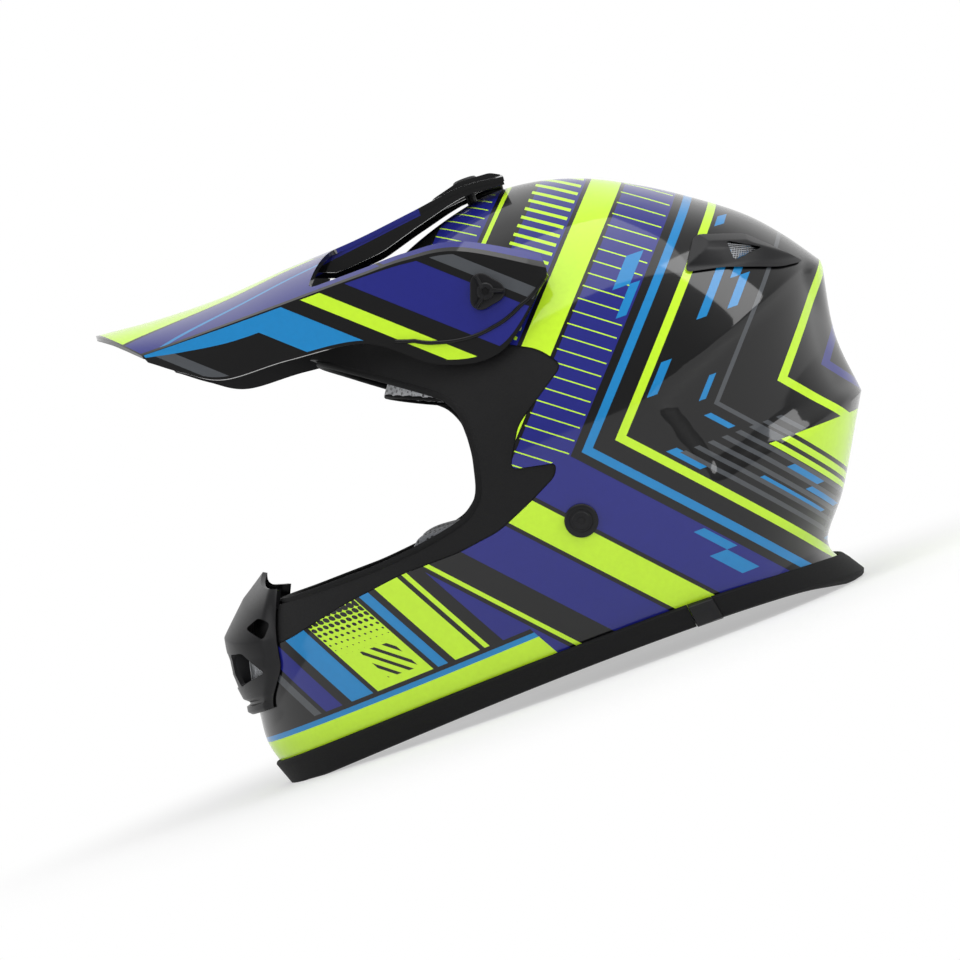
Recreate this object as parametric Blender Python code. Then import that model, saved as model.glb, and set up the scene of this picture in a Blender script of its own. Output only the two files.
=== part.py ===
"""Motocross helmet, resting on its rim: a moulded shell with an eyeport, a tilting peak, vents, liners and straps.

Metres, +Z up. The helmet faces -X, its left side is -Y, and it stands on Z = 0.
"""

import math

import bmesh
import bpy
import numpy as np
from mathutils import Matrix, Vector

MM = 0.001
DEG = math.pi / 180

# Walls and clearances
FIT_GAP = 0.35 * MM
LINER_GAP = 0.8 * MM
VENT_GAP = 0.7 * MM
TRIM_GAP = 0.6 * MM
GASKET_GAP = 0.9 * MM
SHELL_WALL = 3.2 * MM
SURROUND_WALL = 2.8 * MM
SURROUND_RECESS = 0.6 * MM
PEAK_WALL = 2.6 * MM
EPS_CHIN_DEPTH = 18 * MM

# Shell rows, from the rim to the crown. Each row runs round the helmet:
# height at the front, side and rear, reach at the front and rear, half width, and roundness of the front.
SHELL_ROWS = MM * np.array(
    [
        (4.2, 16, 5.8, -179, 156, 103, 1.95),
        (24, 31, 24, -185, 147, 109, 1.95),
        (42, 51, 50, -184, 166, 114, 1.95),
        (62, 76, 97, -181, 193.5, 118.5, 1.95),
        (84, 108, 132, -174, 190.5, 121, 2.0),
        (118, 140, 172, -156, 197.3, 122, 2.05),
        (165, 172, 194, -128, 181.7, 116, 2.1),
        (205, 205, 213, -102, 164, 104, 2.15),
        (228, 230, 234, -78, 136, 86, 2.15),
        (245, 247, 248, -43, 114, 65, 2.1),
        (259, 260, 260, -12, 91, 42, 2.05),
        (268, 268, 268, 18, 66, 20, 2.0),
        (271, 271, 271, 40, 40, 0, 2.0),
    ]
)
SHELL_ROWS[:, 6] /= MM
REAR_ROUNDNESS = 2.25
WIDEST_X = 40 * MM
RIM_ROW, LEDGE_ROW, SHOULDER_ROW, CROWN_ROW = 0, 3, 5, len(SHELL_ROWS) - 1
CREASED_ROWS = (LEDGE_ROW, SHOULDER_ROW)
CREASE_STARTS, CREASE_FULL = 0.05, 0.55

# Scoop pressed into each rear side between the shoulder and the ledge, as a side-view outline (x, z)
SCOOP_OUTLINE = ((76, 131), (190, 178), (205, 101), (93, 77))
SCOOP_DEPTH = 4.5 * MM
SCOOP_SHOULDER = 10 * MM
SCOOP_FADE = (15 * MM, 55 * MM)
SHELL_COLUMNS = 36

# Eyeport and its matt surround, as side-view outlines (x, z)
EYEPORT_OUTLINE = [
    (-230, 262), (-92, 217), (-28, 170), (-22, 158), (-23, 138), (-28, 116), (-38, 107),
    (-56, 103), (-90, 99), (-140, 99), (-230, 104),
]
SURROUND_OUTLINE = [
    (-230, 292), (-92, 238), (-20, 204), (29, 177), (38, 165), (5, 143), (-7, 122), (17, 117),
    (14, 111), (-2, 103), (-23, 94), (-47, 90.5), (-80, 90), (-116, 85), (-152, 77), (-230, 74),
]
GASKET_RADIUS = 2.0 * MM

# Rubber trim round the rim
TRIM_LIP_ROWS = 0.5
TRIM_THICKNESS = 2.4 * MM
TRIM_BELOW = 6.5 * MM
TRIM_SPLICE_X = 64 * MM
TRIM_JOINER_LENGTH = 13 * MM
TRIM_JOINER_PROUD = 1.2 * MM

# Headform cavity in the foam
HEAD_CENTRE = Vector((36 * MM, 0, 130 * MM))
HEAD_RADII = Vector((112 * MM, 88 * MM, 104 * MM))
NECK_DROP = 150 * MM

# Peak, as guide lines from the front to the rear: ridge, upper edge of the side wall, lower edge of the side wall
PEAK_RIDGE = [
    (-197.3, 0, 271.6), (-160, 0, 268.2), (-122, 0, 267.4), (-84, 0, 270), (-45, 0, 271.8),
    (-8, 0, 276), (22, 0, 280), (46, 0, 278.5),
]
PEAK_EDGE = [
    (-171, 84, 247.5), (-148, 90, 247), (-118, 95, 246.6), (-87, 99, 246.4), (-46, 104, 246.2),
    (-20, 108, 245.5), (8, 111.5, 240), (48, 113.5, 216),
]
PEAK_LOW = [
    (-169, 85.5, 243), (-153, 91.5, 231), (-133, 96.5, 219.8), (-97, 100.5, 217.5), (-55, 106, 211),
    (-22, 110.5, 187), (12, 116, 183), (47, 115, 212),
]
PEAK_ARCH_STEPS = 5
PEAK_WALL_STEPS = 2
PEAK_LENGTH_STEPS = 18
ARCH_POWER = 2.3
TONGUE_HALF_WIDTH = 30 * MM
NOTCH_FRONT_X = -72 * MM
NOTCH_SLANT = 16 * MM
NOTCH_EDGE_MARGIN = 7 * MM
# The flanges under the tongue's sides, as (x, depth below the tongue's face) in mm
FLANGE_DEPTHS = ((-84, 2), (-58, 12.5), (-30, 12.5), (-8, 9), (20, 6), (46, 4.6))
FLANGE_INSET = 0.3 * MM

# Peak pivots, knobs and top screw
PIVOT_X, PIVOT_Z = 13.3 * MM, 215 * MM
KNOB_RADIUS = 10.5 * MM
KNOB_HEIGHT = 6.5 * MM
KNOB_LOBES = 3
SCREW_RADIUS = 2.8 * MM
SCREW_CLEARANCE = 0.4 * MM
INSERT_RADIUS = 6 * MM
INSERT_LENGTH = 11 * MM
WING_TO_SHELL = 2.0 * MM
TOP_SCREW_X = 26 * MM
TOP_SCREW_HEAD = 7 * MM
TOP_SCREW_HEAD_HEIGHT = 3 * MM
TILT_UP, TILT_DOWN = 8 * DEG, 3 * DEG


def smoothstep(low, high, value):
    share = min(max((value - low) / (high - low), 0.0), 1.0)
    return share * share * (3 - 2 * share)


def spline(points, at):
    """A Catmull-Rom curve through the points; at runs from 0 to the last index."""
    points = np.asarray(points, float)
    i = min(int(at), len(points) - 2)
    f = at - i
    b, c = points[i], points[i + 1]
    a = points[i - 1] if i > 0 else 2 * b - c
    d = points[i + 2] if i + 2 < len(points) else 2 * c - b
    return 0.5 * (2 * b + (c - a) * f + (2 * a - 5 * b + 4 * c - d) * f**2 + (3 * b - a - 3 * c + d) * f**3)


def scoop_depth(x, y, z):
    """How deep the scoop is at a point of the shell."""
    inside = SCOOP_SHOULDER
    for a, b in zip(SCOOP_OUTLINE, SCOOP_OUTLINE[1:] + SCOOP_OUTLINE[:1]):
        edge = Vector(((b[0] - a[0]) * MM, (b[1] - a[1]) * MM)).normalized()
        inside = min(inside, (x - a[0] * MM) * edge.y - (z - a[1] * MM) * edge.x)
    return SCOOP_DEPTH * smoothstep(0, SCOOP_SHOULDER, inside) * smoothstep(*SCOOP_FADE, abs(y))


def shell_row(v, creased):
    """The row sizes at height index v, with the ledge and shoulder sharp where creased."""
    rows = SHELL_ROWS
    i = min(int(v), CROWN_ROW - 1)
    f = v - i
    b, c = rows[i], rows[i + 1]
    over_crown = rows[CROWN_ROW - 1][[2, 1, 0, 4, 3, 5, 6]] * np.array([1, 1, 1, 1, 1, -1, 1])
    a = rows[i - 1] if i > 0 and not (creased and i in CREASED_ROWS) else 2 * b - c
    if creased and i + 1 in CREASED_ROWS:
        d = 2 * c - b
    else:
        d = rows[i + 2] if i + 2 <= CROWN_ROW else over_crown
    return 0.5 * (2 * b + (c - a) * f + (2 * a - 5 * b + 4 * c - d) * f**2 + (3 * b - a - 3 * c + d) * f**3)


def shell_point(v, turn):
    """A point of the shell's outer face. turn is 0 at the front, a quarter turn at the right side."""
    across, along = math.sin(turn), -math.cos(turn)
    sharp = smoothstep(CREASE_STARTS, CREASE_FULL, along)
    row = (1 - sharp) * shell_row(v, False) + sharp * shell_row(v, True)
    z_front, z_side, z_rear, x_front, x_rear, half_width, roundness = row
    centre = WIDEST_X
    if along < 0:
        power, reach, z_end = 2 / roundness, x_front - centre, z_front
    else:
        power, reach, z_end = 2 / REAR_ROUNDNESS, x_rear - centre, z_rear
    x = centre + reach * abs(along) ** power
    y = max(half_width, 0.0) * math.copysign(abs(across) ** power, across)
    z = z_side + (z_end - z_side) * along**2
    outwards = Vector((x - WIDEST_X, y, 0))
    return Vector((x, y, z)) - outwards.normalized() * scoop_depth(x, y, z)


def shell_normal(v, turn, step=0.02):
    low, high = max(v - step, 0.0), min(v + step, CROWN_ROW - step)
    if v >= CROWN_ROW - step:
        return Vector((0, 0, 1))
    up = shell_point(high, turn) - shell_point(low, turn)
    around = shell_point(v, turn + step) - shell_point(v, turn - step)
    return up.cross(around).normalized()


def shell_inset(v, turn, depth):
    """The point this deep below the shell's outer face."""
    return shell_point(v, turn) - shell_normal(v, turn) * depth


def shell_at(x, z, side):
    """(v, turn) where the shell's outer face meets side-view point x, z on that side."""
    best, found = 1e9, (0.0, 0.0)
    for v in np.linspace(0, CROWN_ROW - 0.3, 60):
        for turn in np.linspace(0.02, math.pi - 0.02, 60):
            p = shell_point(v, turn)
            miss = (p.x - x) ** 2 + (p.z - z) ** 2
            if miss < best:
                best, found = miss, (v, turn)
    v, turn = found
    step = 1e-3
    for _ in range(8):
        p = shell_point(v, turn)
        by_v = (shell_point(v + step, turn) - p) / step
        by_turn = (shell_point(v, turn + step) - p) / step
        slope = np.array([[by_v.x, by_turn.x], [by_v.z, by_turn.z]])
        move = np.linalg.lstsq(slope, np.array([x - p.x, z - p.z]), rcond=None)[0]
        v = min(max(v + float(move[0]), 0.0), CROWN_ROW - 0.3)
        turn = min(max(turn + float(move[1]), 0.0), math.pi)
    return v, side * turn


def head_point(down, turn):
    """A point of the headform cavity; down is the angle from the crown."""
    direction = Vector((-math.sin(down) * math.cos(turn), math.sin(down) * math.sin(turn), math.cos(down)))
    return HEAD_CENTRE + Vector(r * d for r, d in zip(HEAD_RADII, direction))


def head_inset(down, turn, depth):
    p = head_point(down, turn)
    normal = Vector(d / (r * r) for r, d in zip(HEAD_RADII, p - HEAD_CENTRE)).normalized()
    return p - normal * depth


# Objects, materials and collections


def material(name, colour, roughness, metallic=0.0):
    made = bpy.data.materials.new(name)
    made.use_nodes = True
    shader = made.node_tree.nodes["Principled BSDF"]
    shader.inputs["Base Color"].default_value = (*colour, 1)
    shader.inputs["Roughness"].default_value = roughness
    shader.inputs["Metallic"].default_value = metallic
    made.diffuse_color = (*colour, 1)
    return made


def clear_scene():
    for obj in list(bpy.data.objects):
        bpy.data.objects.remove(obj)


def collection(name):
    made = bpy.data.collections.new(name)
    bpy.context.scene.collection.children.link(made)
    return made


clear_scene()
PARTS = collection("motocross_helmet")
CUTTERS = collection("cutters")
GLOSS = material("gloss_lacquer", (0.02, 0.03, 0.2), 0.12)
MATT = material("matt_black", (0.012, 0.012, 0.013), 0.65)
PEAK_PAINT = material("peak_lacquer", (0.5, 0.75, 0.02), 0.25)
BLACK = material("moulded_black", (0.01, 0.01, 0.011), 0.45)
RUBBER = material("black_rubber", (0.008, 0.008, 0.008), 0.7)
FOAM = material("bead_foam", (0.03, 0.03, 0.032), 0.9)
LINING = material("mesh_lining", (0.12, 0.12, 0.13), 0.95)
WEBBING = material("woven_strap", (0.015, 0.015, 0.016), 0.85)
STEEL = material("plated_steel", (0.6, 0.6, 0.62), 0.3, 1.0)
BRASS = material("brass", (0.6, 0.42, 0.15), 0.35, 1.0)


def add(name, bm, finish, smooth=40 * DEG, cutter=False):
    """Makes a bmesh an object of the helmet, or a hidden cutter."""
    bmesh.ops.recalc_face_normals(bm, faces=bm.faces)
    mesh = bpy.data.meshes.new(name)
    bm.to_mesh(mesh)
    bm.free()
    mesh.shade_smooth()
    mesh.set_sharp_from_angle(angle=smooth)
    obj = bpy.data.objects.new(name, mesh)
    (CUTTERS if cutter else PARTS).objects.link(obj)
    if cutter:
        obj.hide_render = True
        obj.display_type = "WIRE"
    else:
        mesh.materials.append(finish)
    return obj


def boolean(obj, cutter, operation="DIFFERENCE"):
    modifier = obj.modifiers.new(f"{operation.lower()}_{cutter.name}", "BOOLEAN")
    modifier.operation = operation
    modifier.object = cutter


def loft(bm, rings, closed=True, caps=(True, True)):
    """Quads between rings of equally many points, with flat caps."""
    made = [[bm.verts.new(p) for p in ring] for ring in rings]
    count = len(made[0])
    for low, high in zip(made, made[1:]):
        for i in range(count if closed else count - 1):
            j = (i + 1) % count
            bm.faces.new((low[i], low[j], high[j], high[i]))
    if caps[0]:
        bm.faces.new(reversed(made[0]))
    if caps[1]:
        bm.faces.new(made[-1])
    return made


def prism(name, outline, y_low, y_high):
    """A cutter: a side-view outline (x, z) carried from y_low to y_high."""
    bm = bmesh.new()
    loft(bm, [[Vector((x, y, z)) for x, z in outline] for y in (y_low, y_high)])
    return add(name, bm, None, cutter=True)


def in_metres(outline):
    return [(x * MM, z * MM) for x, z in outline]


def grown(outline, by):
    """The outline moved outwards by this much along its edges' normals; it turns clockwise."""
    count, made = len(outline), []
    for i in range(count):
        a, b, c = (Vector(outline[(i + k) % count]) for k in (-1, 0, 1))
        first, second = (b - a).normalized(), (c - b).normalized()
        n1, n2 = Vector((-first.y, first.x)), Vector((-second.y, second.x))
        mitre = (n1 + n2) / max(1 + n1.dot(n2), 0.35)
        made.append(tuple(b + mitre * by))
    return made


def patch(name, point, a_range, b_range, counts, depths, finish, closed=False):
    """A closed solid on a curved face, between two depth functions of shares a and b from 0 to 1."""
    na, nb = counts
    shares = [i / na for i in range(na if closed else na + 1)]

    def sheet(depth, b):
        row = []
        for a in shares:
            at_a = a_range[0] + (a_range[1] - a_range[0]) * a
            at_b = b_range[0] + (b_range[1] - b_range[0]) * b
            row.append(point(at_b, at_a, depth(a, b)))
        return row

    outer = [sheet(depths[0], j / nb) for j in range(nb + 1)]
    inner = [sheet(depths[1], j / nb) for j in range(nb + 1)]
    bm = bmesh.new()
    if closed:
        rings = loft(bm, outer + inner[::-1], True, (False, False))
        for i in range(na):
            j = (i + 1) % na
            bm.faces.new((rings[-1][i], rings[-1][j], rings[0][j], rings[0][i]))
    else:
        loft(bm, [top + bottom[::-1] for top, bottom in zip(outer, inner)], True)
    return add(name, bm, finish)


def cylinder_y(name, x, z, y_low, y_high, radius, finish=None, segments=20):
    bm = bmesh.new()
    turned = Matrix.Translation((x, (y_low + y_high) / 2, z)) @ Matrix.Rotation(math.pi / 2, 4, "X")
    bmesh.ops.create_cone(
        bm, cap_ends=True, segments=segments, radius1=radius, radius2=radius,
        depth=abs(y_high - y_low), matrix=turned,
    )
    return add(name, bm, finish, cutter=finish is None)


def cylinder_z(name, x, y, z_low, z_high, radius, finish=None, segments=20):
    bm = bmesh.new()
    bmesh.ops.create_cone(
        bm, cap_ends=True, segments=segments, radius1=radius, radius2=radius,
        depth=z_high - z_low, matrix=Matrix.Translation((x, y, (z_low + z_high) / 2)),
    )
    return add(name, bm, finish, cutter=finish is None)


SIDES = (("left", -1), ("right", 1))
REACH = 0.3  # a cutter's half length, past every side of the helmet


def turned(name, profile, place, finish, segments=24, lobes=0, lobe_depth=0.0, lobed=()):
    """A closed turned solid: (radius, height) pairs along the place's Z; lobed heights get a lobed outline."""
    rings = []
    for k, (radius, height) in enumerate(profile):
        ring = []
        for i in range(segments):
            turn = 2 * math.pi * i / segments
            swell = 1 - lobe_depth * (0.5 - 0.5 * math.cos(lobes * turn)) if k in lobed else 1
            ring.append(place @ Vector((radius * swell * math.cos(turn), radius * swell * math.sin(turn), height)))
        rings.append(ring)
    bm = bmesh.new()
    loft(bm, rings)
    return add(name, bm, finish, cutter=finish is None)


def facing(origin, normal, up=Vector((0, 0, 1))):
    """A placing whose Z is the normal and whose Y leans to up."""
    z = normal.normalized()
    x = up.cross(z).normalized()
    y = z.cross(x)
    return Matrix.Translation(origin) @ Matrix((x, y, z)).transposed().to_4x4()


def sweep(name, frames, profile, finish, closed=False):
    """A profile carried along frames; each frame is (origin, first axis, second axis)."""
    rings = [[o + a * p + b * q for p, q in profile] for o, a, b in frames]
    bm = bmesh.new()
    if closed:
        made = loft(bm, rings, True, (False, False))
        count = len(profile)
        for i in range(count):
            j = (i + 1) % count
            bm.faces.new((made[-1][i], made[-1][j], made[0][j], made[0][i]))
    else:
        loft(bm, rings)
    return add(name, bm, finish)


def shell_turns(count):
    return [2 * math.pi * i / count for i in range(count)]


def dome_rings(low, depth, steps=2):
    """Rings of the shell face at this depth, from row low to just under the crown."""
    heights = [low]
    row = math.floor(low) + 1
    while row < CROWN_ROW:
        fine = steps if row <= CROWN_ROW - 3 else 1
        heights += [row - 1 + k / fine for k in range(1, fine + 1) if row - 1 + k / fine > low + 0.05]
        row += 1
    return [[shell_inset(v, t, depth) for t in shell_turns(SHELL_COLUMNS)] for v in heights]


def fan(bm, ring, pole):
    top = bm.verts.new(pole)
    for i in range(len(ring)):
        bm.faces.new((ring[i], ring[(i + 1) % len(ring)], top))


def shell_solid(name, low, outer, inner, finish, cutter=False):
    """A wall on the shell face between two depths, open below; with no inner depth it is solid."""
    crown = shell_point(CROWN_ROW, 0)
    bm = bmesh.new()
    skin = loft(bm, dome_rings(low, outer), True, (inner is None, False))
    fan(bm, skin[-1], crown - Vector((0, 0, outer)))
    if inner is not None:
        lining = loft(bm, dome_rings(low, inner), True, (False, False))
        fan(bm, lining[-1], crown - Vector((0, 0, inner)))
        for i in range(SHELL_COLUMNS):
            j = (i + 1) % SHELL_COLUMNS
            bm.faces.new((skin[0][i], lining[0][i], lining[0][j], skin[0][j]))
    return add(name, bm, finish, cutter=cutter)


EYEPORT = in_metres(EYEPORT_OUTLINE)
SURROUND = in_metres(SURROUND_OUTLINE)
GASKET_CUT = grown(EYEPORT, 2 * GASKET_RADIUS + GASKET_GAP)

# Outer shell and eyeport surround
outer_shell = shell_solid("outer_shell", RIM_ROW, 0, SHELL_WALL, GLOSS)
boolean(outer_shell, prism("cut_surround", grown(SURROUND, FIT_GAP), -REACH, REACH))
surround = shell_solid("eyeport_surround", 2.4, SURROUND_RECESS, SURROUND_RECESS + SURROUND_WALL, MATT)
boolean(surround, prism("keep_surround", SURROUND, -REACH, REACH), "INTERSECT")
boolean(surround, prism("cut_eyeport", GASKET_CUT, -REACH, REACH))

# Gasket round the eyeport, a rubber bead along its edge
GASKET_DEPTH = SURROUND_RECESS + GASKET_RADIUS * 0.6


def front_end(a, b):
    """The bead's point on the middle line of the shell, where edge a to b meets the front."""
    best, found = 1e9, None
    for v in np.linspace(2, CROWN_ROW - 2, 900):
        p = shell_point(v, 0)
        share = (p.x - a[0]) / (b[0] - a[0])
        miss = abs(a[1] + (b[1] - a[1]) * share - p.z)
        if -0.5 < share < 1.5 and miss < best:
            best, found = miss, v
    return shell_inset(found, 0, GASKET_DEPTH)


def gasket_points():
    line = grown(EYEPORT, GASKET_RADIUS)
    half = []
    for a, b in zip(line[1:-1], line[2:]):
        steps = max(1, round(math.dist(a, b) / (14 * MM)))
        for k in range(steps):
            x, z = (p + (q - p) * k / steps for p, q in zip(a, b))
            v, turn = shell_at(x, z, 1)
            p = shell_inset(v, turn, GASKET_DEPTH)
            if abs(shell_point(v, turn).x - x) < 0.5 * MM and p.y > 12 * MM:
                half.append(p)
    other = [Vector((p.x, -p.y, p.z)) for p in reversed(half)]
    return [front_end(line[0], line[1])] + half + [front_end(line[-2], line[-1])] + other


def tube(name, points, radius, finish, closed=True, sides=6):
    """A round bead along points."""
    frames, count = [], len(points)
    for i, p in enumerate(points):
        before, after = (points[i - 1], points[(i + 1) % count]) if closed else (
            points[max(i - 1, 0)], points[min(i + 1, count - 1)]
        )
        along = (after - before).normalized()
        hint = Vector((p.x - HEAD_CENTRE.x, p.y, p.z - HEAD_CENTRE.z))
        a = along.cross(hint).normalized()
        frames.append((p, a, along.cross(a)))
    circle = [(radius * math.cos(2 * math.pi * i / sides), radius * math.sin(2 * math.pi * i / sides)) for i in range(sides)]
    return sweep(name, frames, circle, finish, closed)


tube("eyeport_gasket", gasket_points(), GASKET_RADIUS, RUBBER)

# Rubber trim on the rim, in a front and a rear run with a joiner over each splice
SPLICE_TURN = shell_at(TRIM_SPLICE_X, shell_point(0, math.pi / 2).z, 1)[1]


def trim_corner(column, proud, lip):
    """The trim's section at a shell column: an outer lip up the shell, a foot below the rim and an inner lip."""
    turn = 2 * math.pi * column / SHELL_COLUMNS
    rim, out = shell_point(0, turn), shell_normal(0, turn)
    down = (rim - shell_point(0.15, turn)).normalized()
    thick = TRIM_THICKNESS + proud
    outside, inside = -TRIM_GAP, SHELL_WALL + TRIM_GAP
    lips = [lip]
    section = [shell_inset(v, turn, outside) for v in lips]
    section += [rim + out * TRIM_GAP + down * TRIM_GAP, rim - out * inside + down * TRIM_GAP]
    section += [shell_inset(v, turn, inside) for v in reversed(lips)]
    section += [shell_inset(v, turn, inside + thick) for v in lips]
    section += [rim - out * (inside + thick) + down * (TRIM_BELOW - 2 * MM), rim - out * (inside + thick - 2 * MM) + down * TRIM_BELOW]
    section += [rim + out * (thick - 2 * MM) + down * TRIM_BELOW, rim + out * (TRIM_GAP + thick) + down * (TRIM_BELOW - 2 * MM)]
    section += [shell_inset(v, turn, outside - thick) for v in reversed(lips)]
    return section


def trim_run(name, start, end, finish, proud=0, lip=TRIM_LIP_ROWS):
    """A length of trim between two turns, straight between the shell's columns."""
    per_turn = SHELL_COLUMNS / (2 * math.pi)
    stops = [start * per_turn]
    stops += [float(c) for c in range(math.floor(stops[0]) + 1, math.ceil(end * per_turn))]
    stops.append(end * per_turn)
    rings = []
    for stop in stops:
        low = math.floor(stop)
        pair = zip(trim_corner(low, proud, lip), trim_corner(low + 1, proud, lip))
        rings.append([p.lerp(q, stop - low) for p, q in pair])
    bm = bmesh.new()
    loft(bm, rings)
    run = add(name, bm, finish)
    boolean(run, FLOOR_CUT)
    return run


def box_cutter(name, low, high):
    bm = bmesh.new()
    bmesh.ops.create_cube(bm, size=1)
    for vert in bm.verts:
        vert.co = Vector(h if c > 0 else l for c, l, h in zip(vert.co, low, high))
    return add(name, bm, None, cutter=True)


FLOOR_CUT = box_cutter("cut_floor", (-REACH, -REACH, -0.1), (REACH, REACH, 0))
JOINER_TURN = TRIM_JOINER_LENGTH / 2 / 0.11
JOINER_SLACK = FIT_GAP / 0.11
trim_run("edge_trim_front", JOINER_TURN - SPLICE_TURN, SPLICE_TURN - JOINER_TURN, RUBBER)
trim_run("edge_trim_rear", SPLICE_TURN + JOINER_TURN, 2 * math.pi - SPLICE_TURN - JOINER_TURN, RUBBER)
for side_name, side in SIDES:
    start = side * SPLICE_TURN - JOINER_TURN + JOINER_SLACK
    end = side * SPLICE_TURN + JOINER_TURN - JOINER_SLACK
    trim_run(f"trim_joiner_{side_name}", start, end, BLACK, TRIM_JOINER_PROUD)

# Foam liners
eps_crown = shell_solid("eps_crown_liner", 2.7, SHELL_WALL + FIT_GAP, None, FOAM)
head_cut_bm = bmesh.new()
head_rings = [[head_point(d, t) for t in shell_turns(32)] for d in np.linspace(0.2, math.pi / 2, 9)]
head_rings.append([p - Vector((0, 0, NECK_DROP)) for p in head_rings[-1]])
head_skin = loft(head_cut_bm, head_rings, True, (False, True))
fan(head_cut_bm, head_skin[0], head_point(0, 0))
boolean(eps_crown, add("cut_headform", head_cut_bm, None, cutter=True))
FACE_OUTLINE = in_metres(
    [(-230, 290), (-100, 227), (-19, 173), (-14, 160), (-15, 124), (-19, 108), (44, 108), (44, 30), (-230, 30)]
)
boolean(eps_crown, prism("cut_face", FACE_OUTLINE, -REACH, REACH))
boolean(eps_crown, prism("cut_bead", grown(EYEPORT, 2 * GASKET_RADIUS + 2 * MM), -REACH, REACH))

CHIN_TURN = 50 * DEG
INNER_FACE = SHELL_WALL + LINER_GAP
eps_chin = patch(
    "eps_chin_liner", shell_inset, (-CHIN_TURN, CHIN_TURN), (1.0, 3.0), (10, 4),
    (lambda a, b: INNER_FACE, lambda a, b: INNER_FACE + EPS_CHIN_DEPTH), FOAM,
)

# Lining pads. Each has a crown, drawn-in sides and a sewn channel


def bulge(a, b, power=4):
    """A cushion's fullness at shares a and b: full in the middle, drawn in at every side."""
    return (1 - abs(2 * a - 1) ** power) * (1 - abs(2 * b - 1) ** power)


def channel(share, at, width):
    return math.exp(-(((share - at) / width) ** 2))


CHEEK_DEPTH_EDGE = 12 * MM
CHEEK_DEPTH_CROWN = 27 * MM
CHEEK_CHANNEL = 5 * MM
CHEEK_TURNS = (57 * DEG, 80 * DEG)
CHEEK_ROWS = (0.95, 3.7)
for side_name, side in SIDES:
    patch(
        f"cheek_pad_{side_name}", shell_inset, (side * CHEEK_TURNS[0], side * CHEEK_TURNS[1]), CHEEK_ROWS, (8, 10),
        (
            lambda a, b: INNER_FACE,
            lambda a, b: INNER_FACE + CHEEK_DEPTH_EDGE + CHEEK_DEPTH_CROWN * bulge(a, b)
            - CHEEK_CHANNEL * channel(b, 0.62, 0.07) * bulge(a, b, 8),
        ),
        LINING,
    )

NECK_DEPTH_EDGE = 8 * MM
NECK_DEPTH_CROWN = 12 * MM
neck_roll = patch(
    "neck_roll", shell_inset, (math.pi - 84 * DEG, math.pi + 84 * DEG), (0.75, 2.1), (20, 5),
    (
        lambda a, b: INNER_FACE,
        lambda a, b: INNER_FACE + NECK_DEPTH_EDGE + NECK_DEPTH_CROWN * bulge(a, b)
        - 3 * MM * (channel(a, 0.34, 0.02) + channel(a, 0.66, 0.02)) * bulge(a, b, 8),
    ),
    LINING,
)

PAD_DEPTH_EDGE = 3 * MM
PAD_DEPTH_CROWN = 5 * MM
crown_pad = patch(
    "crown_pad", head_inset, (0, 2 * math.pi), (12 * DEG, 45 * DEG), (30, 5),
    (
        lambda a, b: LINER_GAP,
        lambda a, b: LINER_GAP + PAD_DEPTH_EDGE + PAD_DEPTH_CROWN * (1 - abs(2 * b - 1) ** 4)
        * (1 - 0.75 * abs(math.cos(3 * 2 * math.pi * a)) ** 10),
    ),
    LINING, closed=True,
)
BROW_TURN = 66 * DEG
BROW_DROP = 14 * DEG
BROW_DOWN = (47 * DEG, 58 * DEG)


def brow_inset(down, turn, depth):
    """A point in the headform cavity, lower at the temples than over the nose, as the eyeport's upper edge is."""
    return head_inset(down + BROW_DROP * (1 - math.cos(turn)) / (1 - math.cos(BROW_TURN)), turn, depth)


brow_pad = patch(
    "brow_pad", brow_inset, (-BROW_TURN, BROW_TURN), BROW_DOWN, (20, 5),
    (
        lambda a, b: LINER_GAP,
        lambda a, b: LINER_GAP + PAD_DEPTH_EDGE + PAD_DEPTH_CROWN * bulge(a, b)
        - 2 * MM * (channel(a, 0.3, 0.03) + channel(a, 0.7, 0.03)) * bulge(a, b, 8),
    ),
    LINING,
)

# Mouth vent: a proud cover with three windows, and one mesh behind them
VENT_TURN = 25 * DEG
VENT_ROWS = (2.05, 4.97)
VENT_TOP_FALL = 0.45  # rows by which the cover's upper edge falls from its nose to each side
VENT_PROFILE = ((0, 6.5), (0.12, 6.8), (0.4, 12), (0.66, 15), (1, 3.6))  # how far it stands proud, in mm, going up
VENT_EDGE = 3.2 * MM
VENT_WALL = 2.4 * MM


def vent_inset(v, turn, depth):
    """A point off the shell, with the cover's upper edge drawn down towards its sides."""
    span = VENT_ROWS[1] - VENT_ROWS[0]
    kept = 1 - VENT_TOP_FALL / span * abs(turn) / VENT_TURN
    return shell_inset(VENT_ROWS[0] + (v - VENT_ROWS[0]) * kept, turn, depth)


def vent_outer(a, b):
    ridge = 1 - abs(2 * a - 1) ** 1.6
    proud = np.interp(b, *zip(*VENT_PROFILE)) * MM
    return -(VENT_EDGE + (proud - VENT_EDGE) * ridge)


mouth_cover = patch(
    "mouth_vent_cover", vent_inset, (-VENT_TURN, VENT_TURN), VENT_ROWS, (16, 10),
    (vent_outer, lambda a, b: min(vent_outer(a, b) + VENT_WALL, -VENT_GAP) if 0.06 < a < 0.94 else -VENT_GAP), BLACK,
)
mouth_mesh = patch(
    "mouth_vent_mesh", shell_inset, (-VENT_TURN * 0.72, VENT_TURN * 0.72), (2.55, 3.72), (12, 5),
    (lambda a, b: -VENT_GAP - 0.9 * MM, lambda a, b: -VENT_GAP), STEEL,
)


def front_prism(name, outline, x_low, x_high):
    """A cutter: a front-view outline (y, z) carried from x_low to x_high."""
    bm = bmesh.new()
    loft(bm, [[Vector((x, y, z)) for y, z in outline] for x in (x_low, x_high)])
    return add(name, bm, None, cutter=True)


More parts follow.
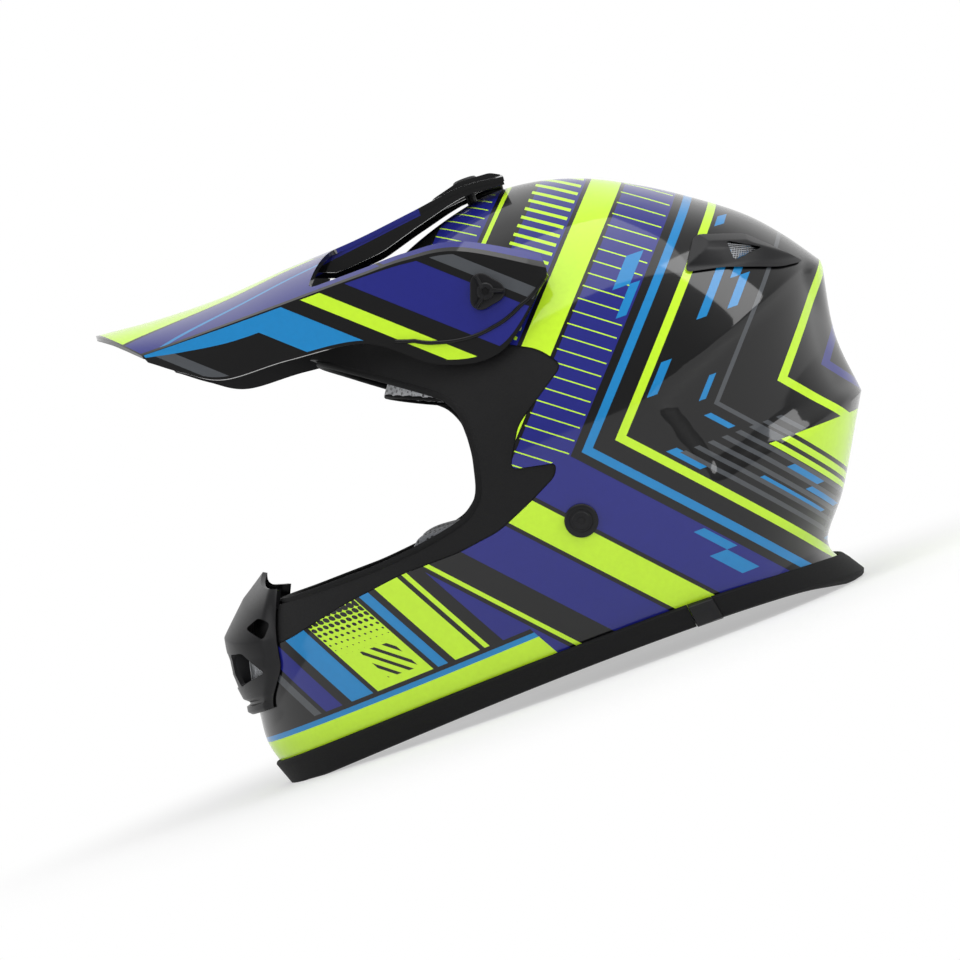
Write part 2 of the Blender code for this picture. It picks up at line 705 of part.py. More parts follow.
MOUTH_WINDOWS = {
    "centre": [(-13, 57), (13, 57), (15, 70), (11, 80), (-11, 80), (-15, 70)],
    "left": [(-44, 64), (-20, 58), (-21, 80), (-30, 79)],
    "right": [(44, 64), (30, 79), (21, 80), (20, 58)],
}
for window, outline in MOUTH_WINDOWS.items():
    boolean(mouth_cover, front_prism(f"cut_mouth_{window}", in_metres(outline), -REACH, -0.1))
CHIN_DUCT = in_metres([(-12, 60), (12, 60), (13, 70), (10, 77), (-10, 77), (-13, 70)])
boolean(outer_shell, front_prism("cut_mouth_duct", CHIN_DUCT, -REACH, -0.1))
boolean(eps_chin, bpy.data.objects["cut_mouth_duct"])

# Rear side vents: a wedge cover on each side with a mesh in its window
REAR_VENT_OUTLINE = in_metres([(117, 189), (130, 207), (157, 199), (184, 174), (169, 175), (138, 185)])
REAR_WINDOW = in_metres([(145, 186.5), (145, 198), (163, 188.5)])
REAR_DUCT = in_metres([(147.5, 189), (147.5, 194.5), (156, 190)])
REAR_VENT_PROUD = 5 * MM
REAR_MESH_WALL = 0.9 * MM
REAR_VENT_TURNS = (100 * DEG, 176 * DEG)
REAR_VENT_ROWS = (4.7, 7.6)


def skin_piece(name, outline, side, depths, finish):
    made = patch(
        name, shell_inset, tuple(side * t for t in REAR_VENT_TURNS), REAR_VENT_ROWS, (12, 6),
        (lambda a, b: depths[0], lambda a, b: depths[1]), finish,
    )
    keep = prism(f"keep_{name}", outline, min(side * 0.005, side * REACH), max(side * 0.005, side * REACH))
    boolean(made, keep, "INTERSECT")
    return made


for side_name, side in SIDES:
    cover = skin_piece(f"rear_vent_cover_{side_name}", REAR_VENT_OUTLINE, side, (-REAR_VENT_PROUD, -VENT_GAP), BLACK)
    boolean(cover, prism(f"cut_rear_window_{side_name}", REAR_WINDOW, *sorted((side * 0.005, side * REACH))))
    skin_piece(
        f"rear_vent_mesh_{side_name}", grown(REAR_WINDOW, -FIT_GAP), side,
        (-VENT_GAP - REAR_MESH_WALL, -VENT_GAP), STEEL,
    )
boolean(outer_shell, prism("cut_rear_ducts", REAR_DUCT, -REACH, REACH))

# Strap rivets, anchor plates and straps
RIVET_X, RIVET_Z = 19.6 * MM, 83.9 * MM
RIVET_RADIUS = 9 * MM
RIVET_HEIGHT = 2.6 * MM
RIVET_SHANK = 2.6 * MM
PLATE_WIDTH, PLATE_HEIGHT, PLATE_WALL = 22 * MM, 30 * MM, 1.6 * MM
PLATE_DEPTH = SHELL_WALL + 1.6 * MM
STRAP_WIDTH = 20 * MM
STRAP_WALL = 2.0 * MM


def plate(name, place, width, height, wall, finish):
    """A rounded flat plate with its outer face on the placing."""
    bm = bmesh.new()
    corner = 4 * MM
    outline = []
    for sx, sy, start in ((1, 1, 0), (-1, 1, 90), (-1, -1, 180), (1, -1, 270)):
        for k in range(4):
            turn = (start + 30 * k) * DEG
            x = sx * (width / 2 - corner) + corner * math.cos(turn)
            outline.append((x, sy * (height / 2 - corner) + corner * math.sin(turn)))
    loft(bm, [[place @ Vector((x, y, -h)) for x, y in outline] for h in (wall, 0)])
    return add(name, bm, finish)


def strap_frames(points, width_axis):
    frames = []
    for i, p in enumerate(points):
        along = (points[min(i + 1, len(points) - 1)] - points[max(i - 1, 0)]).normalized()
        face = along.cross(width_axis).normalized()
        frames.append((p, face.cross(along).normalized(), face))
    return frames


STRAP_SECTION = [
    (-STRAP_WIDTH / 2, -STRAP_WALL / 2), (STRAP_WIDTH / 2, -STRAP_WALL / 2),
    (STRAP_WIDTH / 2, STRAP_WALL / 2), (-STRAP_WIDTH / 2, STRAP_WALL / 2),
]
RIVET_ROW, RIVET_TURN = shell_at(RIVET_X, RIVET_Z, 1)
STRAP_DEPTH = PLATE_DEPTH + PLATE_WALL + FIT_GAP + STRAP_WALL
D_BAR_RADIUS = 1.8 * MM
D_RING_HALF = STRAP_WIDTH / 2 + 3.2 * MM
D_RING_DROP = 21 * MM
LOOP_RADIUS = D_BAR_RADIUS + FIT_GAP + STRAP_WALL / 2
STRAP_AXIS = Vector((1, 0, 0))

for side_name, side in SIDES:
    turn = side * RIVET_TURN
    surface, normal = shell_point(RIVET_ROW, turn), shell_normal(RIVET_ROW, turn)
    place = facing(surface, normal)
    turned(
        f"strap_rivet_{side_name}",
        [
            (RIVET_SHANK, -PLATE_DEPTH - PLATE_WALL), (RIVET_SHANK, 0.6 * MM), (RIVET_RADIUS, 0.6 * MM),
            (RIVET_RADIUS, RIVET_HEIGHT - 0.9 * MM), (RIVET_RADIUS - 1.1 * MM, RIVET_HEIGHT),
            (RIVET_RADIUS - 3.0 * MM, RIVET_HEIGHT), (RIVET_RADIUS - 3.4 * MM, RIVET_HEIGHT - 0.6 * MM),
            (RIVET_RADIUS - 4.2 * MM, RIVET_HEIGHT - 0.6 * MM), (RIVET_RADIUS - 4.6 * MM, RIVET_HEIGHT),
            (1 * MM, RIVET_HEIGHT),
        ],
        place, BLACK, 20,
    )
    hole = turned(
        f"cut_rivet_{side_name}",
        [(RIVET_SHANK + SCREW_CLEARANCE, -0.02), (RIVET_SHANK + SCREW_CLEARANCE, 0.02)], place, None, 16,
    )
    boolean(outer_shell, hole)
    anchor = plate(
        f"strap_anchor_{side_name}", facing(surface - normal * PLATE_DEPTH, normal),
        PLATE_WIDTH, PLATE_HEIGHT, PLATE_WALL, STEEL,
    )
    boolean(anchor, hole)

    start = surface - normal * STRAP_DEPTH
    down = Vector((-1.5 * MM, -side * 3 * MM, -26 * MM))
    path = [start, start + down * 0.5, start + down]
    path.append(start + Vector((-2.5 * MM, -side * 11 * MM, -45 * MM)))
    path.append(start + Vector((-3 * MM, -side * 25 * MM, -55 * MM)))
    smooth = [Vector(spline(path, 4 * i / 14)) for i in range(15)]
    heading = (smooth[-1] - smooth[-2])
    heading.x = 0
    heading.normalize()
    if side < 0:
        over = Vector((0, heading.z, -heading.y))
        if over.z < 0:
            over = -over
        bar = smooth[-1] + heading * 2 * MM - over * LOOP_RADIUS
        smooth[-1] = bar + over * LOOP_RADIUS - heading * 0.5 * MM
        smooth += [
            bar + over * LOOP_RADIUS * math.cos(k * 24 * DEG) + heading * LOOP_RADIUS * math.sin(k * 24 * DEG)
            for k in range(9)
        ]
        D_BAR = bar
        D_OUT = heading
    else:
        smooth += [smooth[-1] + heading * 12 * MM, smooth[-1] + heading * 24 * MM + Vector((0, 0, 1 * MM))]
    sweep(f"strap_{side_name}", strap_frames(smooth, STRAP_AXIS), STRAP_SECTION, WEBBING)


def d_ring(name, half, drop):
    """A D of round bar: straight through the strap's loop, curved beyond it."""
    flat = [(-half, 0), (-half / 2, 0), (half / 2, 0), (half, 0)]
    flat += [(half * math.cos(t), drop * 0.35 + drop * 0.65 * math.sin(t)) for t in np.linspace(0.05, math.pi - 0.05, 9)]
    points = [D_BAR + STRAP_AXIS * x + D_OUT * d for x, d in flat]
    frames, count = [], len(points)
    side_axis = STRAP_AXIS.cross(D_OUT).normalized()
    for i, p in enumerate(points):
        along = (points[(i + 1) % count] - points[i - 1]).normalized()
        frames.append((p, side_axis, along.cross(side_axis)))
    circle = [(D_BAR_RADIUS * math.cos(k * 45 * DEG), D_BAR_RADIUS * math.sin(k * 45 * DEG)) for k in range(8)]
    ring = sweep(name, frames, circle, STEEL, closed=True)
    ring.data.transform(Matrix.Translation(-D_BAR))
    ring.location = D_BAR
    return ring


d_ring("d_ring", D_RING_HALF, D_RING_DROP)

# Peak


def peak_point(at, across):
    """The peak's outer face: across is 0 on the ridge, 1 on the side wall's upper edge, 2 on its lower edge."""
    side, share = math.copysign(1, across), abs(across)
    ridge, edge, low = (Vector(spline(line, at)) * MM for line in (PEAK_RIDGE, PEAK_EDGE, PEAK_LOW))
    if share <= 1:
        p = Vector((
            ridge.x + (edge.x - ridge.x) * share**2,
            edge.y * share,
            edge.z + (ridge.z - edge.z) * (1 - share**ARCH_POWER),
        ))
    else:
        p = edge.lerp(low, share - 1)
    p.y *= side
    return p


def peak_inset(at, across, depth, step=0.01):
    last = len(PEAK_RIDGE) - 1
    near, far = max(at - step, 0), min(at + step, last)
    along = peak_point(far, across) - peak_point(near, across)
    if abs(abs(across) - 1) < 1e-6:
        sign = math.copysign(1, across)
        top = peak_point(at, across) - peak_point(at, across - sign * step)
        wall = peak_point(at, across + sign * step) - peak_point(at, across)
        sideways = sign * (top.normalized() + wall.normalized())
    else:
        sideways = peak_point(at, across + step) - peak_point(at, across - step)
    normal = along.cross(sideways).normalized()
    return peak_point(at, across) - normal * depth


def peak_solid():
    shares = [k / PEAK_ARCH_STEPS for k in range(PEAK_ARCH_STEPS + 1)]
    shares += [1 + k / PEAK_WALL_STEPS for k in range(1, PEAK_WALL_STEPS + 1)]
    shares = [-s for s in reversed(shares[1:])] + shares
    last = len(PEAK_RIDGE) - 1
    rings = []
    for i in range(PEAK_LENGTH_STEPS + 1):
        at = last * i / PEAK_LENGTH_STEPS
        top = [peak_inset(at, s, 0) for s in shares]
        under = [peak_inset(at, s, PEAK_WALL) for s in reversed(shares)]
        rings.append(top + under)
    bm = bmesh.new()
    loft(bm, rings)
    return add("peak", bm, PEAK_PAINT, 25 * DEG)


peak = peak_solid()


def plan_prism(name, outline, z_low, z_high):
    bm = bmesh.new()
    loft(bm, [[Vector((x, y, z)) for x, y in outline] for z in (z_low, z_high)])
    return add(name, bm, None, cutter=True)


for side_name, side in SIDES:
    notch = [(0.09, side * TONGUE_HALF_WIDTH), (NOTCH_FRONT_X + NOTCH_SLANT, side * TONGUE_HALF_WIDTH)]
    last = len(PEAK_EDGE) - 1
    for at in np.linspace(3.3, last, 9):
        edge = Vector(spline(PEAK_EDGE, at)) * MM
        notch.append((edge.x, side * (edge.y - NOTCH_EDGE_MARGIN)))
    notch.append((0.09, notch[-1][1]))
    boolean(peak, plan_prism(f"cut_notch_{side_name}", notch, 0.15, 0.32))

# Peak pivots: spacer, threaded insert and knob on each side
WING_Y = max(abs(peak_inset(6.15, s, PEAK_WALL).y) for s in (1.3, 1.5, 1.7))
WING_FACE = max(abs(peak_point(a, s).y) for a in (5.9, 6.2, 6.5) for s in (1.1, 1.4, 1.7))
PIVOT_ROW, PIVOT_TURN = shell_at(PIVOT_X, PIVOT_Z, 1)
PIVOT_Y = shell_point(PIVOT_ROW, PIVOT_TURN).y
WING_INSIDE = WING_Y - 2.4 * MM
SPACER_RADIUS = 8 * MM
KNOB_GAP = 0.5 * MM
shell_keep_out = shell_solid("cut_shell_outside", 4.0, -FIT_GAP, None, None, cutter=True)
shell_inside = shell_solid("cut_shell_inside", 4.0, SHELL_WALL + FIT_GAP, None, None, cutter=True)
for side_name, side in SIDES:
    across = Matrix.Rotation(-side * math.pi / 2, 4, "X")
    place = Matrix.Translation((PIVOT_X, 0, PIVOT_Z)) @ across
    spacer = turned(
        f"peak_spacer_{side_name}",
        [(SPACER_RADIUS, PIVOT_Y - 14 * MM), (SPACER_RADIUS, WING_INSIDE - FIT_GAP)], place, BLACK,
    )
    boolean(spacer, shell_keep_out)
    shank_hole = turned(
        f"cut_pivot_{side_name}",
        [(SCREW_RADIUS + SCREW_CLEARANCE, 0.05), (SCREW_RADIUS + SCREW_CLEARANCE, 0.16)], place, None, 16,
    )
    insert_low = PIVOT_Y - SHELL_WALL - INSERT_LENGTH - 6 * MM
    insert = turned(
        f"peak_insert_{side_name}",
        [(INSERT_RADIUS, insert_low), (INSERT_RADIUS, PIVOT_Y + 4 * MM)], place, BRASS, 16,
    )
    boolean(insert, shell_inside, "INTERSECT")
    pocket = turned(
        f"cut_insert_{side_name}",
        [(INSERT_RADIUS + FIT_GAP, insert_low - FIT_GAP), (INSERT_RADIUS + FIT_GAP, 0.16)], place, None, 16,
    )
    boolean(eps_crown, pocket)
    for drilled in (spacer, insert, outer_shell, peak):
        boolean(drilled, shank_hole)
    head = WING_FACE + KNOB_GAP
    knob = turned(
        f"peak_knob_{side_name}",
        [
            (SCREW_RADIUS, insert_low + 1 * MM), (SCREW_RADIUS, head), (KNOB_RADIUS, head),
            (KNOB_RADIUS, head + KNOB_HEIGHT - 1.6 * MM), (KNOB_RADIUS - 1.4 * MM, head + KNOB_HEIGHT),
        ],
        Matrix.Translation((0, 0, 0)) @ across, BLACK, 30, KNOB_LOBES, 0.2, (2, 3, 4),
    )
    knob.location = (PIVOT_X, 0, PIVOT_Z)

# Top screw in the tongue's slot
TONGUE_TOP = max(Vector(spline(PEAK_RIDGE, a)).z for a in np.linspace(5.5, 7, 16)) * MM
TOP_SHELL_Z = shell_point(CROWN_ROW, 0).z
SLOT_UP = (TONGUE_TOP - PIVOT_Z) * math.sin(TILT_UP) + 1 * MM
SLOT_DOWN = (TONGUE_TOP - PIVOT_Z) * math.sin(TILT_DOWN) + 1 * MM
slot_reach = SCREW_RADIUS + SCREW_CLEARANCE
slot = [
    (TOP_SCREW_X + SLOT_DOWN + slot_reach, slot_reach), (TOP_SCREW_X - SLOT_UP - slot_reach, slot_reach),
    (TOP_SCREW_X - SLOT_UP - slot_reach, -slot_reach), (TOP_SCREW_X + SLOT_DOWN + slot_reach, -slot_reach),
]
boolean(peak, plan_prism("cut_slot", slot, 0.2, 0.32))
top_place = Matrix.Translation((TOP_SCREW_X, 0, 0))
top_head = TONGUE_TOP + 1.1 * MM
top_insert_low = TOP_SHELL_Z - SHELL_WALL - INSERT_LENGTH
turned(
    "peak_top_screw",
    [
        (SCREW_RADIUS, top_insert_low + 1 * MM), (SCREW_RADIUS, top_head), (TOP_SCREW_HEAD, top_head),
        (TOP_SCREW_HEAD, top_head + TOP_SCREW_HEAD_HEIGHT - 1 * MM),
        (TOP_SCREW_HEAD - 1.4 * MM, top_head + TOP_SCREW_HEAD_HEIGHT),
    ],
    top_place, BLACK, 24,
)
top_hole = turned(
    "cut_top_screw", [(slot_reach, top_insert_low - 5 * MM), (slot_reach, TOP_SHELL_Z + 20 * MM)], top_place, None, 16,
)
top_insert = turned(
    "peak_insert_top", [(INSERT_RADIUS, top_insert_low), (INSERT_RADIUS, TOP_SHELL_Z + 4 * MM)], top_place, BRASS, 16,
)
boolean(top_insert, shell_inside, "INTERSECT")
top_pocket = turned(
    "cut_top_insert",
    [(INSERT_RADIUS + FIT_GAP, top_insert_low - FIT_GAP), (INSERT_RADIUS + FIT_GAP, TOP_SHELL_Z + 0.02)],
    top_place, None, 16,
)
boolean(eps_crown, top_pocket)
boolean(top_insert, top_hole)
boolean(outer_shell, top_hole)

# Two fins on the tongue's rear end
FIN_OUTLINE = in_metres([(-4, 272.5), (6, 278.2), (22, 282.2), (40, 281), (45.5, 278), (45.5, 276.5), (-4, 271.5)])
FIN_Y = TONGUE_HALF_WIDTH - 16 * MM
FIN_WALL = 4 * MM
for side_name, side in SIDES:
    y_low, y_high = sorted((side * FIN_Y, side * (FIN_Y + FIN_WALL)))
    boolean(peak, prism(f"fin_{side_name}", FIN_OUTLINE, y_low, y_high), "UNION")

# A flange under each side of the tongue, deepest in front of the shell's crown


def flange_outline():
    """The flange from the side: its upper edge inside the tongue's wall, its lower edge at the given depths."""
    upper, lower = [], []
    for at in np.linspace(3.05, 6.97, 14):
        width = (Vector(spline(PEAK_EDGE, at)) * MM).y
        p = peak_point(at, (TONGUE_HALF_WIDTH - PEAK_WALL / 2) / width)
        upper.append((p.x, p.z - PEAK_WALL / 3))
        lower.append((p.x, p.z - np.interp(p.x / MM, *zip(*FLANGE_DEPTHS)) * MM))
    return upper + lower[::-1]


for side_name, side in SIDES:
    outside = TONGUE_HALF_WIDTH - FLANGE_INSET
    y_low, y_high = sorted((side * (outside - PEAK_WALL), side * outside))
    boolean(peak, prism(f"flange_{side_name}", flange_outline(), y_low, y_high), "UNION")
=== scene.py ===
"""Motocross helmet on a pale floor: lacquered shell, tilting peak, vents, padded lining and straps."""

import math

import bmesh
import bpy
import numpy as np
from mathutils import Matrix, Vector
from mathutils.kdtree import KDTree


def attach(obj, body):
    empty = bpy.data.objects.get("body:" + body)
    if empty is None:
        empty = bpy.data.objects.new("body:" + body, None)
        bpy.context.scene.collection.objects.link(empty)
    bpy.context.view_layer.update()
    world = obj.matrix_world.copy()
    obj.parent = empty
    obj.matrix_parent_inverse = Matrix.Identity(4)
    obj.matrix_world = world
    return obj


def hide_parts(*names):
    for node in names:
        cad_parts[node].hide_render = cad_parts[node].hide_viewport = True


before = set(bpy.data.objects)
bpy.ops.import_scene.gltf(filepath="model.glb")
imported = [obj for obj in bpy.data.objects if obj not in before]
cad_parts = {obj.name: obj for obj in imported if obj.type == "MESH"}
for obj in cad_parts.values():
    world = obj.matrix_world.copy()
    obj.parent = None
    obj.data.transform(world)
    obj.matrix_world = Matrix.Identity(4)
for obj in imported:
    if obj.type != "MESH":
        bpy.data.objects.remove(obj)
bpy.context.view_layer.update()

MM = 0.001
DEG = math.pi / 180

# Sizes shared with the CAD model

WALL = 3.2
SHELL_ROWS = np.array(
    [
        (4.2, 16, 5.8, -179, 156, 103, 1.95),
        (24, 31, 24, -185, 147, 109, 1.95),
        (42, 51, 50, -184, 166, 114, 1.95),
        (62, 76, 97, -181, 193.5, 118.5, 1.95),
        (84, 108, 132, -174, 190.5, 121, 2.0),
        (118, 140, 172, -156, 197.3, 122, 2.05),
        (165, 172, 194, -128, 181.7, 116, 2.1),
        (205, 205, 213, -102, 164, 104, 2.15),
        (228, 230, 234, -78, 136, 86, 2.15),
        (245, 247, 248, -43, 114, 65, 2.1),
        (259, 260, 260, -12, 91, 42, 2.05),
        (268, 268, 268, 18, 66, 20, 2.0),
        (271, 271, 271, 40, 40, 0, 2.0),
    ]
)
CROWN = len(SHELL_ROWS) - 1
WIDEST_X = 40
REAR_ROUNDNESS = 2.25
FINE_WIDTH = 0.9993  # a finer grid bulges a hair past the CAD's, so it is drawn in by as much
CREASED_ROWS = (3, 5)
SCOOP_OUTLINE = ((76, 131), (190, 178), (205, 101), (93, 77))
SCOOP_DEPTH, SCOOP_EDGE = 4.5, 10.0
EYEPORT = [
    (-230, 262), (-92, 217), (-28, 170), (-22, 158), (-23, 138), (-28, 116), (-38, 107),
    (-56, 103), (-90, 99), (-140, 99), (-230, 104),
]
SURROUND = [
    (-230, 292), (-92, 238), (-20, 204), (29, 177), (38, 165), (5, 143), (-7, 122), (17, 117),
    (14, 111), (-2, 103), (-23, 94), (-47, 90.5), (-80, 90), (-116, 85), (-152, 77), (-230, 74),
]
HEAD_CENTRE = np.array((36, 0, 130))
HEAD_RADII = np.array((112, 88, 104))
PIVOT_X, PIVOT_Z = 13.3, 215
TILT_UP, TILT_DOWN = 8 * DEG, 3 * DEG
TOP_SCREW_X, TOP_SCREW_ARM = 26, 65
SCREW_HOLE, INSERT_POCKET = 3.2, 6.35  # radii
FIT = 0.35
FAR = 300  # past every side of the helmet
SIDES = (("left", -1), ("right", 1))


def smoothstep(low, high, value):
    """0 below low and 1 above high, with a smooth rise between."""
    share = np.clip((value - low) / (high - low), 0, 1)
    return share * share * (3 - 2 * share)


def spline(a, b, c, d, f):
    """A smooth step from b to c, by way of their neighbours a and d."""
    return 0.5 * (2 * b + (c - a) * f + (2 * a - 5 * b + 4 * c - d) * f**2 + (3 * b - a - 3 * c + d) * f**3)


def inset(outline, x, z, most):
    """How far side-view points lie inside an outline that turns clockwise, up to most."""
    made = np.full_like(x, most)
    for a, b in zip(outline, outline[1:] + outline[:1]):
        edge = np.array((b[0] - a[0], b[1] - a[1])) / math.dist(a, b)
        made = np.minimum(made, (x - a[0]) * edge[1] - (z - a[1]) * edge[0])
    return made


def shell_rows_at(v, creased):
    """The shell's measures at rows v, smooth from row to row, or with a crease at the creased rows."""
    over_the_crown = SHELL_ROWS[-2][[2, 1, 0, 4, 3, 5, 6]] * [1, 1, 1, 1, 1, -1, 1]
    padded = np.vstack([2 * SHELL_ROWS[0] - SHELL_ROWS[1], SHELL_ROWS, over_the_crown])
    i = np.clip(np.floor(v).astype(int), 0, CROWN - 1)
    f = (v - i)[:, None]
    a, b, c, d = (padded[i + k] for k in range(4))
    if creased:
        a = np.where(np.isin(i, CREASED_ROWS)[:, None], 2 * b - c, a)
        d = np.where(np.isin(i + 1, CREASED_ROWS)[:, None], 2 * c - b, d)
    return spline(a, b, c, d, f)


def shell_face(v, turn):
    """Points in mm on the shell's outer face. v counts the rows, turn is 0 at the front and grows to the right."""
    across, along = np.sin(turn), -np.cos(turn)
    sharp = smoothstep(0.05, 0.55, along)[:, None]
    row = (1 - sharp) * shell_rows_at(v, False) + sharp * shell_rows_at(v, True)
    z_front, z_side, z_rear, x_front, x_rear, half, roundness = row.T
    power = np.where(along < 0, 2 / roundness, 2 / REAR_ROUNDNESS)
    reach = np.where(along < 0, x_front, x_rear) - WIDEST_X
    x = WIDEST_X + reach * np.abs(along) ** power
    y = FINE_WIDTH * np.maximum(half, 0) * np.sign(across) * np.abs(across) ** power
    z = z_side + (np.where(along < 0, z_front, z_rear) - z_side) * along**2
    inside = inset(SCOOP_OUTLINE, x, z, SCOOP_EDGE)
    depth = SCOOP_DEPTH * smoothstep(0, SCOOP_EDGE, inside) * smoothstep(15, 55, np.abs(y))
    away = np.maximum(np.hypot(x - WIDEST_X, y), 1e-6)
    return np.column_stack([x - (x - WIDEST_X) / away * depth, y - y / away * depth, z])


def shell(v, turn, depth=0.0, step=0.02):
    """Points in mm this deep below the shell's outer face."""
    points = shell_face(v, turn)
    if np.isscalar(depth) and depth == 0:
        return points
    low, high = np.maximum(v - step, 0), np.minimum(v + step, CROWN - step)
    low = np.minimum(low, high - step)
    up = shell_face(high, turn) - shell_face(low, turn)
    level = np.minimum(v, CROWN - step)
    around = shell_face(level, turn + step) - shell_face(level, turn - step)
    normal = np.cross(up, around)
    normal /= np.maximum(np.linalg.norm(normal, axis=1), 1e-9)[:, None]
    normal[v > CROWN - step] = (0, 0, 1)
    return points - normal * np.reshape(depth, (-1, 1))


def head(down, turn, depth=0.0):
    """Points in mm this deep inside the headform cavity."""
    way = np.column_stack([-np.sin(down) * np.cos(turn), np.sin(down) * np.sin(turn), np.cos(down)])
    normal = way / HEAD_RADII
    normal /= np.linalg.norm(normal, axis=1)[:, None]
    return HEAD_CENTRE + HEAD_RADII * way - normal * np.reshape(depth, (-1, 1))


def right_side(low, high, count):
    """Rows, turns and points of a square grid on the shell's right side."""
    v, turn = (a.ravel() for a in np.meshgrid(np.linspace(low, high, count), np.linspace(0, math.pi, count)))
    return v, turn, shell_face(v, turn)


def shell_at(x, z):
    """(v, turn) where the shell's right side meets side-view point x, z."""
    v, turn, p = right_side(0, CROWN - 0.3, 240)
    best = np.argmin((p[:, 0] - x) ** 2 + (p[:, 2] - z) ** 2)
    return float(v[best]), float(turn[best])


# Mesh helpers


def placed(name, data):
    """A new object in the scene."""
    obj = bpy.data.objects.new(name, data)
    bpy.context.scene.collection.objects.link(obj)
    return obj


def mesh_of(name, bm):
    """A mesh in metres from a bmesh in mm."""
    bmesh.ops.scale(bm, vec=(MM, MM, MM), verts=bm.verts)
    mesh = bpy.data.meshes.new(name)
    bm.to_mesh(mesh)
    bm.free()
    return mesh


def shade(mesh, smooth):
    """Smooth shading, with edges sharper than so many degrees left crisp."""
    mesh.shade_smooth()
    mesh.set_sharp_from_angle(angle=smooth * DEG)


def paint(obj, *materials):
    """Gives a piece its finishes; a piece that has none yet keeps its faces' own finish numbers."""
    if obj.data.materials:
        obj.data.materials.clear()
    for made in materials:
        obj.data.materials.append(made)
    return obj


def piece(name, bm, materials, slot, stands_for=(), body="shell", smooth=35):
    """Makes a bmesh, in mm, a piece of the helmet that rides on a body."""
    obj = paint(placed(name, mesh_of(name, bm)), *materials)
    shade(obj.data, smooth)
    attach(obj, body)
    if stands_for:
        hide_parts(*stands_for)
    return obj


def bend_grid(bm, counts, place, uv=None):
    """A grid whose shares a and b, 0 to 1, are placed by a function of arrays and kept in a UV layer."""
    made = bmesh.ops.create_grid(bm, x_segments=counts[0], y_segments=counts[1], size=1)["verts"]
    shares = np.array([(v.co.x, v.co.y) for v in made]) * 0.5 + 0.5
    for vert, share, co in zip(made, shares, place(shares[:, 0], shares[:, 1])):
        vert.co = co
        if uv:
            for loop in vert.link_loops:
                loop[uv].uv = share


def patch(counts, outer, inner, merge=1e-4, inside=0, uv=None):
    """A closed solid between two placed grids, joined round their borders; inside is the inner faces' finish number."""
    bm = bmesh.new()
    run = bm.loops.layers.uv.new(uv) if uv else None
    for place, index in ((outer, 0), (inner, inside)):
        before = set(bm.faces)
        bend_grid(bm, counts, place, run)
        for face in set(bm.faces) - before:
            face.material_index = index
    bmesh.ops.remove_doubles(bm, verts=bm.verts, dist=merge)
    borders = [e for e in bm.edges if e.is_boundary]
    if borders:
        bmesh.ops.bridge_loops(bm, edges=borders)
    bmesh.ops.recalc_face_normals(bm, faces=bm.faces)
    return bm


def rounded(outline, radius, steps=5):
    """The outline with its corners rounded."""
    made, count = [], len(outline)
    for i in range(count):
        a, b, c = (Vector(outline[(i + k) % count]) for k in (-1, 0, 1))
        taken = min(radius, (a - b).length * 0.45, (c - b).length * 0.45)
        start, end = b + (a - b).normalized() * taken, b + (c - b).normalized() * taken
        for k in range(steps + 1):
            f = k / steps
            made.append(tuple((1 - f) ** 2 * start + 2 * f * (1 - f) * b + f * f * end))
    return made


def grown(outline, by):
    """The outline moved outwards along its edges' normals; it turns clockwise."""
    made, count = [], len(outline)
    for i in range(count):
        a, b, c = (Vector(outline[(i + k) % count]) for k in (-1, 0, 1))
        first, second = (b - a).normalized(), (c - b).normalized()
        n1, n2 = Vector((-first.y, first.x)), Vector((-second.y, second.x))
        made.append(tuple(b + (n1 + n2) / max(1 + n1.dot(n2), 0.35) * by))
    return made


def closed(bm, merge=1e-4):
    """Merges a bmesh's seams, fills its open ends and turns its faces outwards."""
    bmesh.ops.remove_doubles(bm, verts=bm.verts, dist=merge)
    bmesh.ops.holes_fill(bm, edges=[e for e in bm.edges if e.is_boundary])
    bmesh.ops.recalc_face_normals(bm, faces=bm.faces)
    return bm


def grid(counts, place, merge=1e-4):
    """A closed solid from one placed grid that runs round on itself."""
    bm = bmesh.new()
    bend_grid(bm, counts, place)
    return closed(bm, merge)


def soften(bm, edges, offset, segments):
    """Rounds edges over."""
    bmesh.ops.bevel(
        bm, geom=edges, offset=offset, segments=segments, profile=0.5, affect="EDGES", material=-1, clamp_overlap=True
    )


def prism(outline, axis, low, high):
    """A bmesh of an outline carried along an axis: Y takes (x, z), X takes (y, z), Z takes (x, y)."""

    def put(point, at):
        made = list(point)
        made.insert("XYZ".index(axis), at)
        return made

    bm = bmesh.new()
    face = bm.faces.new([bm.verts.new(put(p, low)) for p in outline])
    made = bmesh.ops.extrude_face_region(bm, geom=[face])["geom"]
    shift = Vector(put((0, 0), high)) - Vector(put((0, 0), low))
    bmesh.ops.translate(bm, vec=shift, verts=[v for v in made if isinstance(v, bmesh.types.BMVert)])
    bmesh.ops.recalc_face_normals(bm, faces=bm.faces)
    return bm


def carve(obj, steps):
    """Cuts, keeps or joins shapes given as (operation, bmesh in mm), and applies the result."""
    tools = []
    for operation, bm in steps:
        tools.append(placed("tool", mesh_of("tool", bm)))
        modifier = obj.modifiers.new("carve", "BOOLEAN")
        modifier.operation = operation
        modifier.object = tools[-1]
    apply_modifiers(obj)
    for tool in tools:
        bpy.data.objects.remove(tool)


def worked_out(obj):
    """The object with its modifiers or its curve worked out."""
    return obj.evaluated_get(bpy.context.evaluated_depsgraph_get())


def apply_modifiers(obj, smooth=35):
    mesh = bpy.data.meshes.new_from_object(worked_out(obj))
    obj.modifiers.clear()
    obj.data = mesh
    shade(mesh, smooth)


